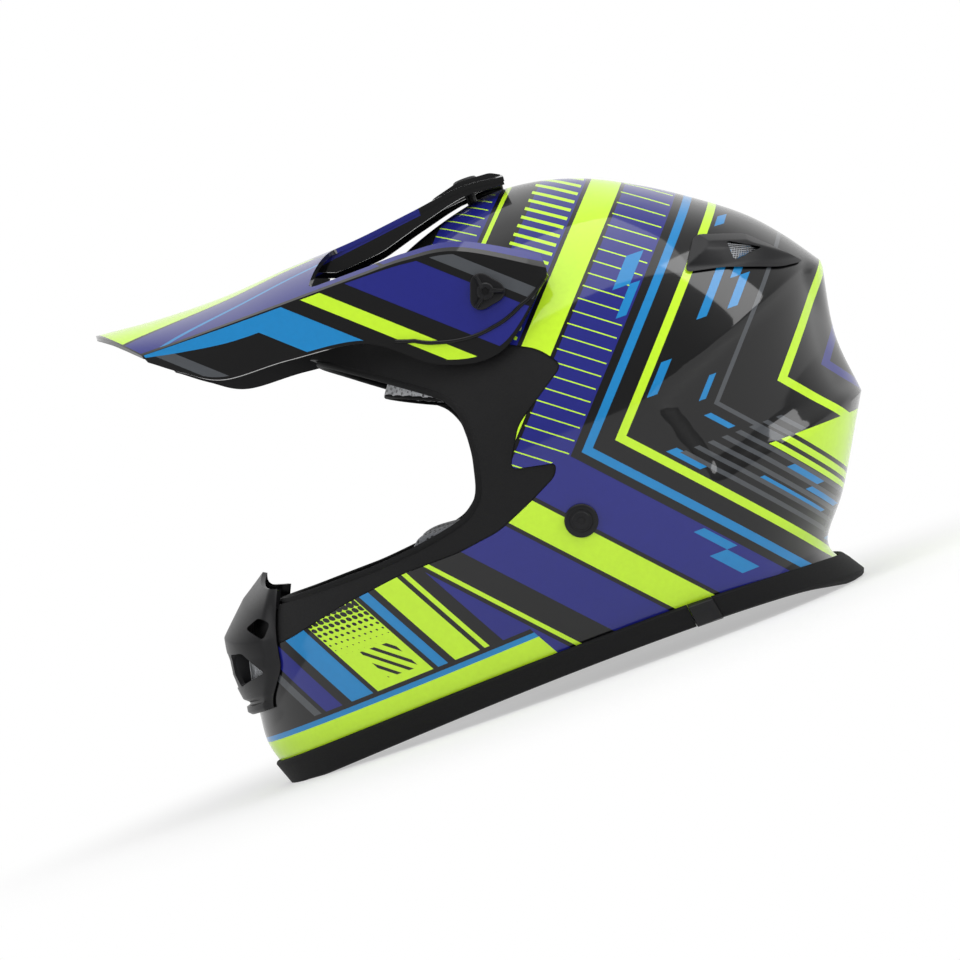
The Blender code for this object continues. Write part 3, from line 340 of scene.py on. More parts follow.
def turned(profile, place, segments=48):
    """A bmesh spun from (radius, height) pairs about the place's Z."""
    bm = bmesh.new()
    verts = [bm.verts.new((radius, 0, height)) for radius, height in profile]
    edges = [bm.edges.new(pair) for pair in zip(verts, verts[1:])]
    bmesh.ops.spin(
        bm, geom=verts + edges, cent=(0, 0, 0), axis=(0, 0, 1), angle=2 * math.pi, steps=segments, use_merge=True
    )
    closed(bm, 1e-5)
    bmesh.ops.transform(bm, matrix=place, verts=bm.verts)
    return bm


def facing(origin, normal):
    """A place whose Z stands out along a normal."""
    z = Vector(normal).normalized()
    x = Vector((0, 0, 1)).cross(z).normalized()
    return Matrix.Translation(Vector(origin)) @ Matrix((x, z.cross(x), z)).transposed().to_4x4()


def pivot(side):
    """The knobs' axis: Z points out of the helmet's side."""
    return Matrix.Translation((PIVOT_X, 0, PIVOT_Z)) @ Matrix.Rotation(-side * math.pi / 2, 4, "X")


TOP_SCREW = Matrix.Translation((TOP_SCREW_X, 0, 0))


def cut(outline, axis="Y", low=-FAR, high=FAR, how="DIFFERENCE"):
    """A carving step with an outline's prism, right through the helmet where no limits are given."""
    return how, prism(outline, axis, low, high)


def bore(radius, low, high, place, segments):
    """A carving step for a round hole."""
    return "DIFFERENCE", turned([(0, low), (radius, low), (radius, high), (0, high)], place, segments)


# Materials

NEON, ROYAL, CYAN, GREY, BLACK = "BCE62A", "1A1F76", "127BB8", "46494D", "060607"


def colour(code):
    """Linear red, green, blue and alpha from a hex code."""
    parts = [int(code[i : i + 2], 16) / 255 for i in (0, 2, 4)]
    return (*[p / 12.92 if p <= 0.04045 else ((p + 0.055) / 1.055) ** 2.4 for p in parts], 1)


def add(tree, kind, inputs=(), out=0, **settings):
    """Adds a node with its settings and returns an output; inputs, in order or by name, are values or outputs."""
    made = tree.nodes.new("ShaderNode" + kind)
    for key, value in settings.items():
        setattr(made, key, value)
    for key, value in inputs.items() if isinstance(inputs, dict) else enumerate(inputs):
        if isinstance(value, bpy.types.NodeSocket):
            tree.links.new(value, made.inputs[key])
        else:
            made.inputs[key].default_value = value
    return made.outputs[out]


def finish(name, **values):
    """A new material, its node tree, its shader and its Object coordinates in mm."""
    made = bpy.data.materials.new(name)
    made.use_nodes = True
    tree = made.node_tree
    shader = tree.nodes["Principled BSDF"]
    for key, value in values.items():
        shader.inputs[key.replace("_", " ").title().replace("Ior", "IOR")].default_value = value
    where = add(tree, "TexCoord", out="Object")
    return made, tree, shader, add(tree, "VectorMath", {0: where, "Scale": 1000.0}, operation="SCALE")


def dress(tree, shader, base=None, rough=None, height=None, depth=0.0):
    """Links a base colour, a roughness and a relief that is depth mm deep to the shader."""
    if base:
        tree.links.new(base, shader.inputs["Base Color"])
    if rough:
        tree.links.new(rough, shader.inputs["Roughness"])
    if height:
        tree.links.new(add(tree, "Bump", {"Height": height, "Distance": depth * MM}), shader.inputs["Normal"])


def toned(tree, code, value, low, high):
    """A colour made darker or lighter, from low to high times, as a value goes from 0 to 1."""
    base = colour(code)[:3] if isinstance(code, str) else code
    tone = add(tree, "MapRange", {"Value": value, "To Min": low, "To Max": high})
    return add(tree, "VectorMath", {0: base, "Scale": tone}, operation="SCALE")


def bands(tree, value, stops):
    """Hard colour bands: each stop is (start, hex) of a value."""
    low, high = stops[0][0], stops[-1][0] + 1
    share = add(tree, "MapRange", {"Value": value, "From Min": low, "From Max": high})
    shown = add(tree, "ValToRGB", {"Fac": share})
    ramp = shown.node.color_ramp
    ramp.interpolation = "CONSTANT"
    ramp.elements.remove(ramp.elements[-1])
    ramp.elements[0].color = colour(stops[0][1])
    for start, code in stops[1:]:
        ramp.elements.new((start - low) / (high - low)).color = colour(code)
    return shown


def within(tree, *limits):
    """A mask that is 1 where every (value, low, high) holds."""
    mask = None
    for value, low, high in limits:
        inside = add(tree, "Math", (value, (high + low) / 2, (high - low) / 2), operation="COMPARE")
        mask = add(tree, "Math", (mask, inside), operation="MULTIPLY") if mask else inside
    return mask


def stripes(tree, value, period, share, *limits):
    """A mask of even stripes, share of each period wide, kept within limits."""
    folded = add(tree, "Math", (value, period), operation="FLOORED_MODULO")
    return within(tree, (folded, -1.0, period * share), *limits)


def laid(tree, base, *coats):
    """Colours laid one over another, each a (mask, hex or output)."""
    for mask, top in coats:
        top = colour(top) if isinstance(top, str) else top
        base = add(tree, "Mix", {"Factor": mask, "A": base, "B": top}, "Result", data_type="RGBA")
    return base


def lacquer(name, design):
    """Clear-coated moulding: deep gloss with a faint orange-peel wave about 3 mm long."""
    made, tree, shader, where = finish(
        name, roughness=0.42, specular_ior_level=0.12, coat_weight=0.8, coat_roughness=0.06, ior=1.5
    )
    xyz = add(tree, "SeparateXYZ", [where]).node.outputs
    peel = add(tree, "TexNoise", {"Vector": where, "Scale": 0.35, "Detail": 2.0})
    dress(tree, shader, toned(tree, design(tree, *xyz), peel, 0.94, 1.05), None, peel, 0.012)
    return made


def shell_design(tree, x, y, z):
    """Chevrons that point forwards at mid height, slanted bars on the chin and a rule along the rim."""
    rise = add(tree, "Math", (z, 118.0), operation="SUBTRACT")
    fold = add(tree, "Math", [rise], operation="ABSOLUTE")
    chevron, slant, steep, rule = (
        add(tree, "Math", (a, slope, b), operation="MULTIPLY_ADD")
        for a, slope, b in ((fold, -0.92, x), (z, 0.55, x), (z, 1.3, x), (x, -0.05, z))
    )
    base = bands(
        tree, chevron,
        [
            (-400, BLACK), (-190, GREY), (-186, BLACK), (-166, CYAN), (-157, BLACK), (-149, NEON), (-146, BLACK),
            (-128, ROYAL), (-99, BLACK), (-95, NEON), (-92, BLACK), (-74, ROYAL), (-42, BLACK), (-39, NEON),
            (-17, BLACK), (-13, ROYAL), (24, BLACK), (31, CYAN), (38, BLACK), (50, NEON), (55, BLACK), (106, GREY),
            (109, BLACK), (142, NEON), (150, BLACK), (172, ROYAL), (178, BLACK), (400, BLACK),
        ],
    )
    cell = add(tree, "CombineXYZ", {"X": chevron, "Y": fold})
    snapped = add(tree, "VectorMath", (cell, (6.0, 15.0, 1.0)), operation="SNAP")
    chance = add(tree, "TexWhiteNoise", {"Vector": snapped}, noise_dimensions="3D")
    base = laid(
        tree, base,
        (stripes(tree, steep, 9.0, 0.12, (chevron, -128, -99), (z, 150, 300)), NEON),
        (stripes(tree, steep, 9.0, 0.34, (chevron, -74, -42), (z, 150, 300)), NEON),
        (stripes(tree, steep, 12.0, 0.09, (chevron, -13, 24), (z, 118, 300)), NEON),
        (within(tree, (chance, 0.78, 2.0), (chevron, 8, 24), (fold, 0, 95)), CYAN),
        (within(tree, (chance, 0.84, 2.0), (chevron, 60, 100), (fold, 4, 95)), CYAN),
        (stripes(tree, chevron, 8.0, 0.42, (chevron, 62, 126), (z, 0, 100)), GREY),
        (within(tree, (chevron, 100, 400), (z, 0, 88)), NEON),
        (stripes(tree, chevron, 8.0, 0.4, (chevron, 100, 116), (z, 0, 88)), BLACK),
    )
    chin = bands(
        tree, slant,
        [
            (-400, BLACK), (-135, GREY), (-131, BLACK), (-127, ROYAL), (-118, BLACK), (-112, CYAN), (-99, BLACK),
            (-95, NEON), (-62, BLACK), (-59, CYAN), (-53, BLACK), (-49, NEON), (-34, BLACK), (-31, NEON), (-29, BLACK),
        ],
    )
    fold_x, fold_z = (add(tree, "Math", (way, 3.4), operation="FLOORED_MODULO") for way in (slant, z))
    dot = add(tree, "CombineXYZ", {"X": fold_x, "Y": fold_z})
    gap = add(tree, "VectorMath", (dot, (1.7, 1.7, 0.0)), "Value", operation="DISTANCE")
    size = add(tree, "MapRange", {"Value": z, "From Min": 58.0, "From Max": 88.0, "To Max": 2.1})
    dotted = add(tree, "Math", (gap, size), operation="LESS_THAN")
    chin = laid(
        tree, chin,
        (add(tree, "Math", (dotted, within(tree, (slant, -95, -62))), operation="MULTIPLY"), BLACK),
        (stripes(tree, steep, 7.0, 0.4, (slant, -84, -66), (z, 40, 58)), BLACK),
    )
    return laid(
        tree, base,
        (within(tree, (slant, -400, -20), (z, 0, 120)), chin),
        *(
            (within(tree, (rule, low, high), (slant, -400, -4)), code)
            for low, high, code in ((0, 35, NEON), (35, 38, CYAN), (38, 40.5, BLACK))
        ),
    )


def peak_design(tree, x, y, z):
    """Neon crown panel between royal strips, a royal tongue with a black tail, and slanted bars on the side walls."""
    run = add(tree, "SeparateXYZ", [add(tree, "UVMap", uv_map="run")]).node.outputs
    across = add(tree, "Math", (run["Y"], 4.0, -2.0), operation="MULTIPLY_ADD")
    share = add(tree, "Math", [across], operation="ABSOLUTE")
    out = add(tree, "Math", [y], operation="ABSOLUTE")
    taper, tongue, crest, slant = (
        add(tree, "Math", (a, slope, b), operation="MULTIPLY_ADD")
        for a, slope, b in ((x, 0.24, out), (out, -0.5, x), (x, -0.12, z), (z, 1.1, x))
    )
    base = bands(tree, taper, [(-200, NEON), (22, BLACK), (25, ROYAL), (46, CYAN), (49, ROYAL), (140, ROYAL)])
    wall = bands(
        tree, slant,
        [
            (0, BLACK), (104, GREY), (112, BLACK), (152, CYAN), (178, BLACK), (188, NEON), (199, BLACK), (214, ROYAL),
            (252, BLACK), (258, GREY), (267, BLACK), (400, BLACK),
        ],
    )
    wall = laid(tree, wall, (within(tree, (share, 0, 1.34), (slant, 0, 165)), CYAN))
    return laid(
        tree, base,
        (stripes(tree, x, 11.0, 0.25, (out, 12, 20), (x, -128, -100)), BLACK),
        (within(tree, (tongue, -86, -84)), BLACK),
        (within(tree, (tongue, -84, 300)), ROYAL),
        (within(tree, (share, 1.0, 3.0)), wall),
        (within(tree, (share, 1.95, 3.0)), BLACK),
        (within(tree, (share, 0.975, 1.03)), BLACK),
        (within(tree, (run["X"], -1.0, 0.006)), BLACK),
        (within(tree, (out, 27, 31), (crest, 271.5, 290), (x, -90, 20)), ROYAL),
        (within(tree, (out, 0, 31), (x, -4, 60)), BLACK),
    )


def moulded(name, code, rough, grain, depth, spread=(0.75, 1.3)):
    """Moulded plastic or rubber: a grained skin, finer than a millimetre, that breaks up the shine."""
    made, tree, shader, where = finish(name, ior=1.48, specular_ior_level=0.28)
    speck = add(tree, "TexNoise", {"Vector": where, "Scale": 1 / grain, "Detail": 3.0})
    broad = add(tree, "TexNoise", {"Vector": where, "Scale": 0.03, "Detail": 2.0})
    both = add(tree, "Math", (speck, broad, 0.25), operation="MULTIPLY_ADD")
    wear = add(tree, "MapRange", {"Value": speck, "To Min": rough - 0.1, "To Max": rough + 0.12})
    dress(tree, shader, toned(tree, code, both, *spread), wear, speck, depth)
    return made


def metal(name, code, rough):
    """Plated or turned metal with fine drawn lines and small changes of polish."""
    made, tree, shader, where = finish(name, metallic=1.0)
    drawn = add(tree, "VectorMath", (where, (0.4, 0.4, 6.0)), operation="MULTIPLY")
    lines = add(tree, "TexNoise", {"Vector": drawn, "Scale": 1.0, "Detail": 3.0})
    wear = add(tree, "MapRange", {"Value": lines, "To Min": rough - 0.08, "To Max": rough + 0.1})
    dress(tree, shader, toned(tree, code, lines, 0.85, 1.08), wear, lines, 0.02)
    return made


def bead_foam(name, code):
    """Expanded bead foam: flattened beads about 4 mm across with dark joints."""
    made, tree, shader, where = finish(name, roughness=0.8)
    joint = add(tree, "TexVoronoi", {"Vector": where, "Scale": 0.26}, feature="DISTANCE_TO_EDGE")
    each = add(tree, "TexVoronoi", {"Vector": where, "Scale": 0.26}, "Color")
    round_off = add(tree, "MapRange", {"Value": joint, "From Max": 0.12})
    bead_tone = add(tree, "MapRange", {"Value": each, "To Min": 0.75, "To Max": 1.15})
    both = add(tree, "Math", (round_off, bead_tone), operation="MULTIPLY")
    dress(tree, shader, toned(tree, code, both, 0.5, 1.2), None, round_off, 0.35)
    return made


def mesh_cloth(name, code, hole_code):
    """Warp-knitted spacer mesh: round eyelets every 2.6 mm with a soft sheen on the ribs between them."""
    made, tree, shader, where = finish(name, roughness=0.85, sheen_weight=0.35, sheen_roughness=0.5)
    eyes = add(tree, "TexVoronoi", {"Vector": where, "Scale": 0.38, "Randomness": 0.12})
    yarn = add(tree, "TexNoise", {"Vector": where, "Scale": 1.6, "Detail": 3.0})
    rib = add(tree, "MapRange", {"Value": eyes, "From Min": 0.28, "From Max": 0.4})
    height = add(tree, "Math", (yarn, 0.3, rib), operation="MULTIPLY_ADD")
    base = laid(tree, colour(hole_code), (rib, toned(tree, code, yarn, 0.7, 1.3)))
    dress(tree, shader, base, None, height, 0.35)
    return made


def webbing(name, code):
    """Woven polyester strap: ribs 1.4 mm apart across the strap, drawn a little coarse so that they show."""
    made, tree, shader, where = finish(name, roughness=0.75, sheen_weight=0.2)
    xyz = add(tree, "SeparateXYZ", [where]).node.outputs
    waves = []
    for axis, pitch in (("X", 1.4), ("Z", 1.8)):
        turn = add(tree, "Math", (xyz[axis], 2 * math.pi / pitch), operation="MULTIPLY")
        waves.append(add(tree, "Math", [turn], operation="SINE"))
    weave = add(tree, "Math", waves, operation="MULTIPLY")
    share = add(tree, "MapRange", {"Value": weave, "From Min": -1.0})
    dress(tree, shader, toned(tree, code, share, 0.6, 1.35), None, share, 0.4)
    return made


SHELL_LACQUER = lacquer("shell_lacquer", shell_design)
PEAK_LACQUER = lacquer("peak_lacquer", peak_design)
PRIMER = moulded("black_primer", "141415", 0.7, 1.5, 0.03)
GRAINED = moulded("grained_matt_abs", "0F0F10", 0.66, 0.8, 0.16, (0.4, 1.8))
SATIN = moulded("satin_black_nylon", "111113", 0.36, 0.6, 0.02)
GLOSS_BLACK = moulded("gloss_black_abs", "0A0A0B", 0.2, 1.2, 0.004)
RUBBER = moulded("smooth_rubber", "0D0D0E", 0.76, 0.8, 0.03)
WIRE = metal("woven_steel_wire", "D6D8DB", 0.42)
STEEL = metal("nickel_plated_steel", "C2C4C7", 0.24)
BRASS = metal("turned_brass", "C9A24E", 0.3)
FOAM = bead_foam("bead_foam_dark", "2E2F32")
PALE_MESH = mesh_cloth("pale_spacer_mesh", "CBCDD1", "4A4B4E")
DARK_MESH = mesh_cloth("dark_spacer_mesh", "5A5C60", "1B1C1E")
WEBBING = webbing("woven_webbing", "1B1C1E")
THREAD = moulded("polyester_thread", "8C8F94", 0.6, 0.5, 0.02)

# Shell, eyeport surround and bead

GASKET_RADIUS, EYEPORT_ROUNDING = 2.0, 14
SURROUND_CUT = rounded(SURROUND, 5)
EYEPORT_CUT = rounded(grown(EYEPORT, GASKET_RADIUS + 1.2), EYEPORT_ROUNDING)  # its edge lies inside the bead
RIVET_ROW, RIVET_TURN = shell_at(19.6, 83.9)
CHIN_DUCT = [(-12, 60), (12, 60), (13, 70), (10, 77), (-10, 77), (-13, 70)]
REAR_DUCT = [(147.5, 189), (147.5, 194.5), (156, 190)]


def shell_wall(outer, inner, rows, turns, counts, **more):
    """A bmesh of the shell between two depths."""

    def at(depth):
        return lambda a, b: shell(rows[0] + (rows[1] - rows[0]) * b, turns[0] + (turns[1] - turns[0]) * a, depth)

    return patch(counts, at(outer), at(inner), **more)


def rivet_place(side):
    """The strap rivet's face point and outward normal on the shell."""
    v, turn = np.array([RIVET_ROW]), np.array([side * RIVET_TURN])
    face = shell(v, turn)[0]
    return Vector(face), Vector(face - shell(v, turn, 1.0)[0]).normalized()


outer_shell = piece(
    "shell_skin", shell_wall(0, WALL, (0, CROWN), (0, 2 * math.pi), (216, 112), merge=2e-3, inside=1),
    (SHELL_LACQUER, PRIMER), "gloss_lacquer", ["outer_shell"],
)
cuts = [cut(grown(SURROUND_CUT, FIT)), cut(CHIN_DUCT, "X", -FAR, -100), cut(REAR_DUCT)]
for _, side in SIDES:
    cuts.append(bore(3, -20, 20, facing(*rivet_place(side)), 16))
    cuts.append(bore(SCREW_HOLE, 50, 160, pivot(side), 16))
carve(outer_shell, [*cuts, bore(SCREW_HOLE, 250, 300, TOP_SCREW, 16)])

surround = piece(
    "eyeport_frame", shell_wall(0.6, 3.4, (2.4, 8.8), (-100 * DEG, 100 * DEG), (180, 84)), (GRAINED,), "matt_black",
    ["eyeport_surround"],
)
carve(surround, [cut(SURROUND_CUT, how="INTERSECT"), cut(EYEPORT_CUT)])


def bead(name, points, radius, ring, material, slot, **where):
    """A round bead along points, made with a bevelled curve and turned to a mesh."""
    curve = bpy.data.curves.new(name, "CURVE")
    curve.dimensions = "3D"
    curve.bevel_depth = radius
    curve.bevel_resolution = 4
    curve.use_fill_caps = True
    line = curve.splines.new("POLY")
    line.points.add(len(points) - 1)
    for point, co in zip(line.points, points):
        point.co = (*co, 1)
    line.use_cyclic_u = ring
    holder = placed(name, curve)
    mesh = bpy.data.meshes.new_from_object(worked_out(holder))
    bpy.data.objects.remove(holder)
    bm = bmesh.new()
    bm.from_mesh(mesh)
    bpy.data.meshes.remove(mesh)
    return piece(name, bm, (material,), slot, **where)


def on_shell(outline, depth):
    """Points on the right side of the shell over a side-view outline, those that miss the shell left out."""
    v, turn, face = right_side(1.5, CROWN - 1, 700)
    made = []
    for x, z in outline:
        near = np.argmin((face[:, 0] - x) ** 2 + (face[:, 2] - z) ** 2)
        if math.dist((x, z), face[near][[0, 2]]) < 0.6:
            made.append(shell(v[near : near + 1], turn[near : near + 1], depth)[0])
    return made


def even(outline, spacing):
    """Points along an open outline at about this spacing."""
    made = []
    for a, b in zip(outline, outline[1:]):
        steps = max(1, round(math.dist(a, b) / spacing))
        made += [tuple(p + (q - p) * k / steps for p, q in zip(a, b)) for k in range(steps)]
    return made + [outline[-1]]


right_run = on_shell(even(rounded(grown(EYEPORT, GASKET_RADIUS), EYEPORT_ROUNDING, 8)[9:-9], 3), 1.8)
loop_run = np.array(right_run + [np.array((x, -y, z)) for x, y, z in reversed(right_run)])
for _ in range(4):
    loop_run = 0.5 * loop_run + 0.25 * (np.roll(loop_run, 1, 0) + np.roll(loop_run, -1, 0))
bead("eyeport_bead", loop_run, GASKET_RADIUS, True, RUBBER, "black_rubber", stands_for=["eyeport_gasket"])

# Rubber trim on the rim

SPLICE = shell_at(64, 16)[1]
SPLICE_RADIUS = 110
JOINER_TURN = 13 / 2 / SPLICE_RADIUS


def trim(name, start, end, proud, material, slot):
    """A length of trim: lips up both faces of the shell and a foot below the rim, flat where it stands."""
    thick = 2.4 + proud
    lip, inner = -0.6 - thick, WALL + 0.6 + thick
    loop = [
        (0.5, -0.6, 0), (0.5, -0.6 - thick * 0.5, 0.05), (0.5, lip + 0.9, 0.0), (0.46, lip, 0), (0.25, lip, 0),
        (0, lip, -4.5), (0, -thick + 1.4, -6.2), (0, -thick + 3, -6.5), (0, inner - 3, -6.5), (0, inner - 0.6, -6.0),
        (0, inner, -4.5), (0.25, inner, 0), (0.5, inner, 0), (0.5, WALL + 0.6, 0), (0, WALL + 0.6, -0.6),
        (0, -0.6, -0.6),
    ]
    rows, depths, drops = (np.array(c) for c in zip(*loop))
    count = len(loop)

    def place(a, b):
        turn = start + (end - start) * a
        i = np.round(b * count).astype(int) % count
        down = shell(np.zeros_like(turn), turn) - shell(np.full_like(turn, 0.15), turn)
        down /= np.linalg.norm(down, axis=1)[:, None]
        p = shell(rows[i], turn, depths[i]) - down * drops[i][:, None]
        p[:, 2] = np.maximum(p[:, 2], 0)
        return p

    steps = max(4, int(abs(end - start) / (2.2 * DEG)))
    piece(name + "_profile", grid((steps, count), place), (material,), slot, [name], smooth=50)


trim("edge_trim_front", JOINER_TURN - SPLICE, SPLICE - JOINER_TURN, 0, RUBBER, "black_rubber")
trim("edge_trim_rear", SPLICE + JOINER_TURN, 2 * math.pi - SPLICE - JOINER_TURN, 0, RUBBER, "black_rubber")
for side_name, side in SIDES:
    gap = FIT / SPLICE_RADIUS
    trim(
        f"trim_joiner_{side_name}", side * SPLICE - JOINER_TURN + gap, side * SPLICE + JOINER_TURN - gap, 1.2, SATIN,
        "moulded_black",
    )

# Peak

PEAK_RIDGE = np.array(
    [
        (-197.3, 0, 271.6), (-160, 0, 268.2), (-122, 0, 267.4), (-84, 0, 270), (-45, 0, 271.8), (-8, 0, 276),
        (22, 0, 280), (46, 0, 278.5),
    ]
)
PEAK_EDGE = np.array(
    [
        (-171, 84, 247.5), (-148, 90, 247), (-118, 95, 246.6), (-87, 99, 246.4), (-46, 104, 246.2), (-20, 108, 245.5),
        (8, 111.5, 240), (48, 113.5, 216),
    ]
)
PEAK_LOW = np.array(
    [
        (-169, 85.5, 243), (-153, 91.5, 231), (-133, 96.5, 219.8), (-97, 100.5, 217.5), (-55, 106, 211),
        (-22, 110.5, 187), (12, 116, 183), (47, 115, 212),
    ]
)
PEAK_END = len(PEAK_RIDGE) - 1
PEAK_WALL = 2.6
TONGUE_HALF = 30
FLANGE_DEPTHS = ([-84, -58, -30, -8, 20, 46], [2, 12.5, 12.5, 9, 6, 4.6])


def guide(points, at):
    """Points on a smooth line through points, counted from 0."""
    padded = np.vstack([2 * points[0] - points[1], points, 2 * points[-1] - points[-2]])
    i = np.clip(np.floor(at).astype(int), 0, len(points) - 2)
    f = (at - i)[:, None]
    return spline(*(padded[i + k] for k in range(4)), f)


def peak_face(at, across):
    """The peak's outer face: across is 0 on the ridge, 1 on the side wall's upper edge, 2 on its lower edge."""
    ridge, edge, low = (guide(line, at) for line in (PEAK_RIDGE, PEAK_EDGE, PEAK_LOW))
    share = np.abs(across)
    s = np.minimum(share, 1)[:, None]
    arch = np.column_stack(
        [
            (ridge[:, :1] + (edge - ridge)[:, :1] * s**2), edge[:, 1:2] * s,
            edge[:, 2:] + (ridge - edge)[:, 2:] * (1 - s**2.3),
        ]
    )
    made = arch + (low - edge) * np.maximum(share - 1, 0)[:, None]
    made[:, 1] *= np.sign(across)
    return made


def peak_at(at, across, depth, step=0.01):
    """Points this deep below the peak's outer face."""
    along = peak_face(np.minimum(at + step, PEAK_END), across) - peak_face(np.maximum(at - step, 0), across)
    sideways = peak_face(at, across + step) - peak_face(at, across - step)
    normal = np.cross(along, sideways)
    normal /= np.linalg.norm(normal, axis=1)[:, None]
    return peak_face(at, across) - normal * depth


def tongue_flange(side):
    """A wall under one side of the tongue, deepest in front of the crown."""
    at = np.linspace(3.05, 6.97, 40)
    face = peak_face(at, (TONGUE_HALF - 1.3) / guide(PEAK_EDGE, at)[:, 1])
    depth = np.interp(face[:, 0], *FLANGE_DEPTHS)
    outline = [(x, z - 0.9) for x, _, z in face] + [(x, z - d) for (x, _, z), d in zip(face[::-1], depth[::-1])]
    return prism(outline, "Y", *sorted((side * (TONGUE_HALF - 2.9), side * (TONGUE_HALF - 0.3))))


def peak_body():
    """The visor moulding: painted skin over a satin underside, open beside its flanged tongue, with two fins."""
    outer, inner = (lambda a, b, depth=depth: peak_at(PEAK_END * a, 4 * b - 2, depth) for depth in (0.0, PEAK_WALL))
    skins = patch((120, 104), outer, inner, inside=1, uv="run")
    made = piece("peak_visor", skins, (PEAK_LACQUER, SATIN), "peak_lacquer", ["peak"], "peak", 22)
    edge = guide(PEAK_EDGE, np.linspace(3.3, PEAK_END, 12))
    steps = []
    for _, side in SIDES:
        notch = [(90, side * TONGUE_HALF), (-56, side * TONGUE_HALF)] + [(x, side * (y - 7)) for x, y, _ in edge]
        notch.append((90, notch[-1][1]))
        steps += [cut(rounded(notch, 6), "Z", 150, 320), bore(SCREW_HOLE, 50, 160, pivot(side), 20)]
        fin = [(-4, 272.5), (6, 278.2), (22, 282.2), (40, 281), (45.5, 278), (45.5, 276.5), (-4, 271.5)]
        fin_bm = prism(rounded(fin, 2), "Y", *sorted((side * 14, side * 18)))
        soften(fin_bm, fin_bm.edges, 0.7, 2)
        steps += [("UNION", fin_bm), ("UNION", tongue_flange(side))]
    front = TOP_SCREW_X - (TOP_SCREW_ARM * math.sin(TILT_UP) + 1) - SCREW_HOLE
    rear = TOP_SCREW_X + (TOP_SCREW_ARM * math.sin(TILT_DOWN) + 1) + SCREW_HOLE
    slot = [(rear, SCREW_HOLE), (front, SCREW_HOLE), (front, -SCREW_HOLE), (rear, -SCREW_HOLE)]
    carve(made, [*steps, cut(rounded(slot, 3), "Z", 200, 320)])


peak_body()
RIB_RUN = np.linspace(4.4, 6.93, 50)
RIB_ACROSS = np.interp(RIB_RUN, [4.4, 4.7, 5, 6, 6.5, 6.93], [1.88, 1.8, 1.79, 1.77, 1.8, 1.95])
STIFFENER_RUN = np.linspace(0.35, 3.2, 40)
for side_name, side in SIDES:
    line = peak_at(RIB_RUN, side * RIB_ACROSS, -0.3)
    bead(f"peak_rib_{side_name}", line, 1.1, False, GLOSS_BLACK, "peak_lacquer", body="peak")
    for number, share in enumerate((0.3, 0.62)):
        line = peak_at(STIFFENER_RUN, np.full_like(STIFFENER_RUN, side * share), 3.0)
        bead(f"peak_stiffener_{side_name}_{number}", line, 1.3, False, SATIN, "peak_lacquer", body="peak")

# Knobs, rivets and the top screw

WING_FACE = max(abs(p[1]) for p in peak_face(np.repeat([5.9, 6.2, 6.5], 3), np.tile([1.1, 1.4, 1.7], 3)))
KNOB_BASE = WING_FACE + 0.5
KNOB_TURN = 100
SCREW_SEAT = 280 + 1.1  # just above the peak's ridge


def lobed(radius, depth, count, turn=0.0, steps=60):
    """A round outline with count lobes, drawn in between them by a share of its radius."""
    made = []
    for i in range(steps):
        t = 2 * math.pi * i / steps
        r = radius * (1 - depth * (0.5 - 0.5 * math.cos(count * (t - turn))))
        made.append((r * math.cos(t), r * math.sin(t)))
    return made


def knob(side_name, side):
    """A three-winged hand nut: a lobed plate, a hub with a hexagon socket and three blades, on its screw shank."""
    plate = prism(lobed(10.5, 0.24, 3, KNOB_TURN * DEG), "Z", KNOB_BASE, KNOB_BASE + 2.6)
    soften(plate, [e for e in plate.edges if abs(e.verts[0].co.z - e.verts[1].co.z) < 1e-6], 0.8, 3)
    blades = []
    for k in range(3):
        foot = [(2.2, -2.3), (9.6, -1.7), (10.1, 0.2), (9.4, 1.2), (2.2, 2.3)]
        blade = prism(foot, "Z", KNOB_BASE + 1, KNOB_BASE + 6.5)
        for vert in blade.verts:
            if vert.co.z > KNOB_BASE + 4:
                vert.co.y = vert.co.y * 0.45 + 0.5
                vert.co.z -= 1.6 * (1 - vert.co.x / 10)
        soften(blade, blade.edges, 0.35, 2)
        turn = Matrix.Rotation((KNOB_TURN + 120 * k) * DEG, 3, "Z")
        bmesh.ops.rotate(blade, cent=(0, 0, 0), matrix=turn, verts=blade.verts)
        blades.append(blade)
    socket = prism(lobed(2.2, 0.0, 1, 0, 6), "Z", KNOB_BASE + 3.2, KNOB_BASE + 9)
    for bm in (plate, *blades, socket):
        bmesh.ops.transform(bm, matrix=pivot(side), verts=bm.verts)
    made = piece(
        f"peak_knob_{side_name}_nut", plate, (SATIN,), "moulded_black", [f"peak_knob_{side_name}"], f"knob_{side_name}",
        30,
    )
    hub = [(2.8, 1), (4.6, 1), (4.6, 4.6), (3.9, 5.3), (0, 5.3)]
    shank = [(0, 78), (2.8, 78)] + [(radius, KNOB_BASE + height) for radius, height in hub]
    joined = [("UNION", bm) for bm in (turned(shank, pivot(side), 30), *blades)]
    carve(made, [*joined, ("DIFFERENCE", socket)])


for side_name, side in SIDES:
    knob(side_name, side)
    cap = [
        (0, -6.4), (2.6, -6.4), (2.6, 0.6), (8.6, 0.6), (9, 0.9), (9, 1.5), (8.7, 2.0), (8.0, 2.35), (6.9, 2.42),
        (6.3, 2.42), (6.0, 2.05), (5.2, 1.95), (4.9, 2.1), (4.6, 2.4), (2.0, 2.55), (1.8, 2.3), (0, 2.2),
    ]
    piece(
        f"strap_rivet_{side_name}_cap", turned(cap, facing(*rivet_place(side)), 56), (SATIN,), "moulded_black",
        [f"strap_rivet_{side_name}"], smooth=40,
    )

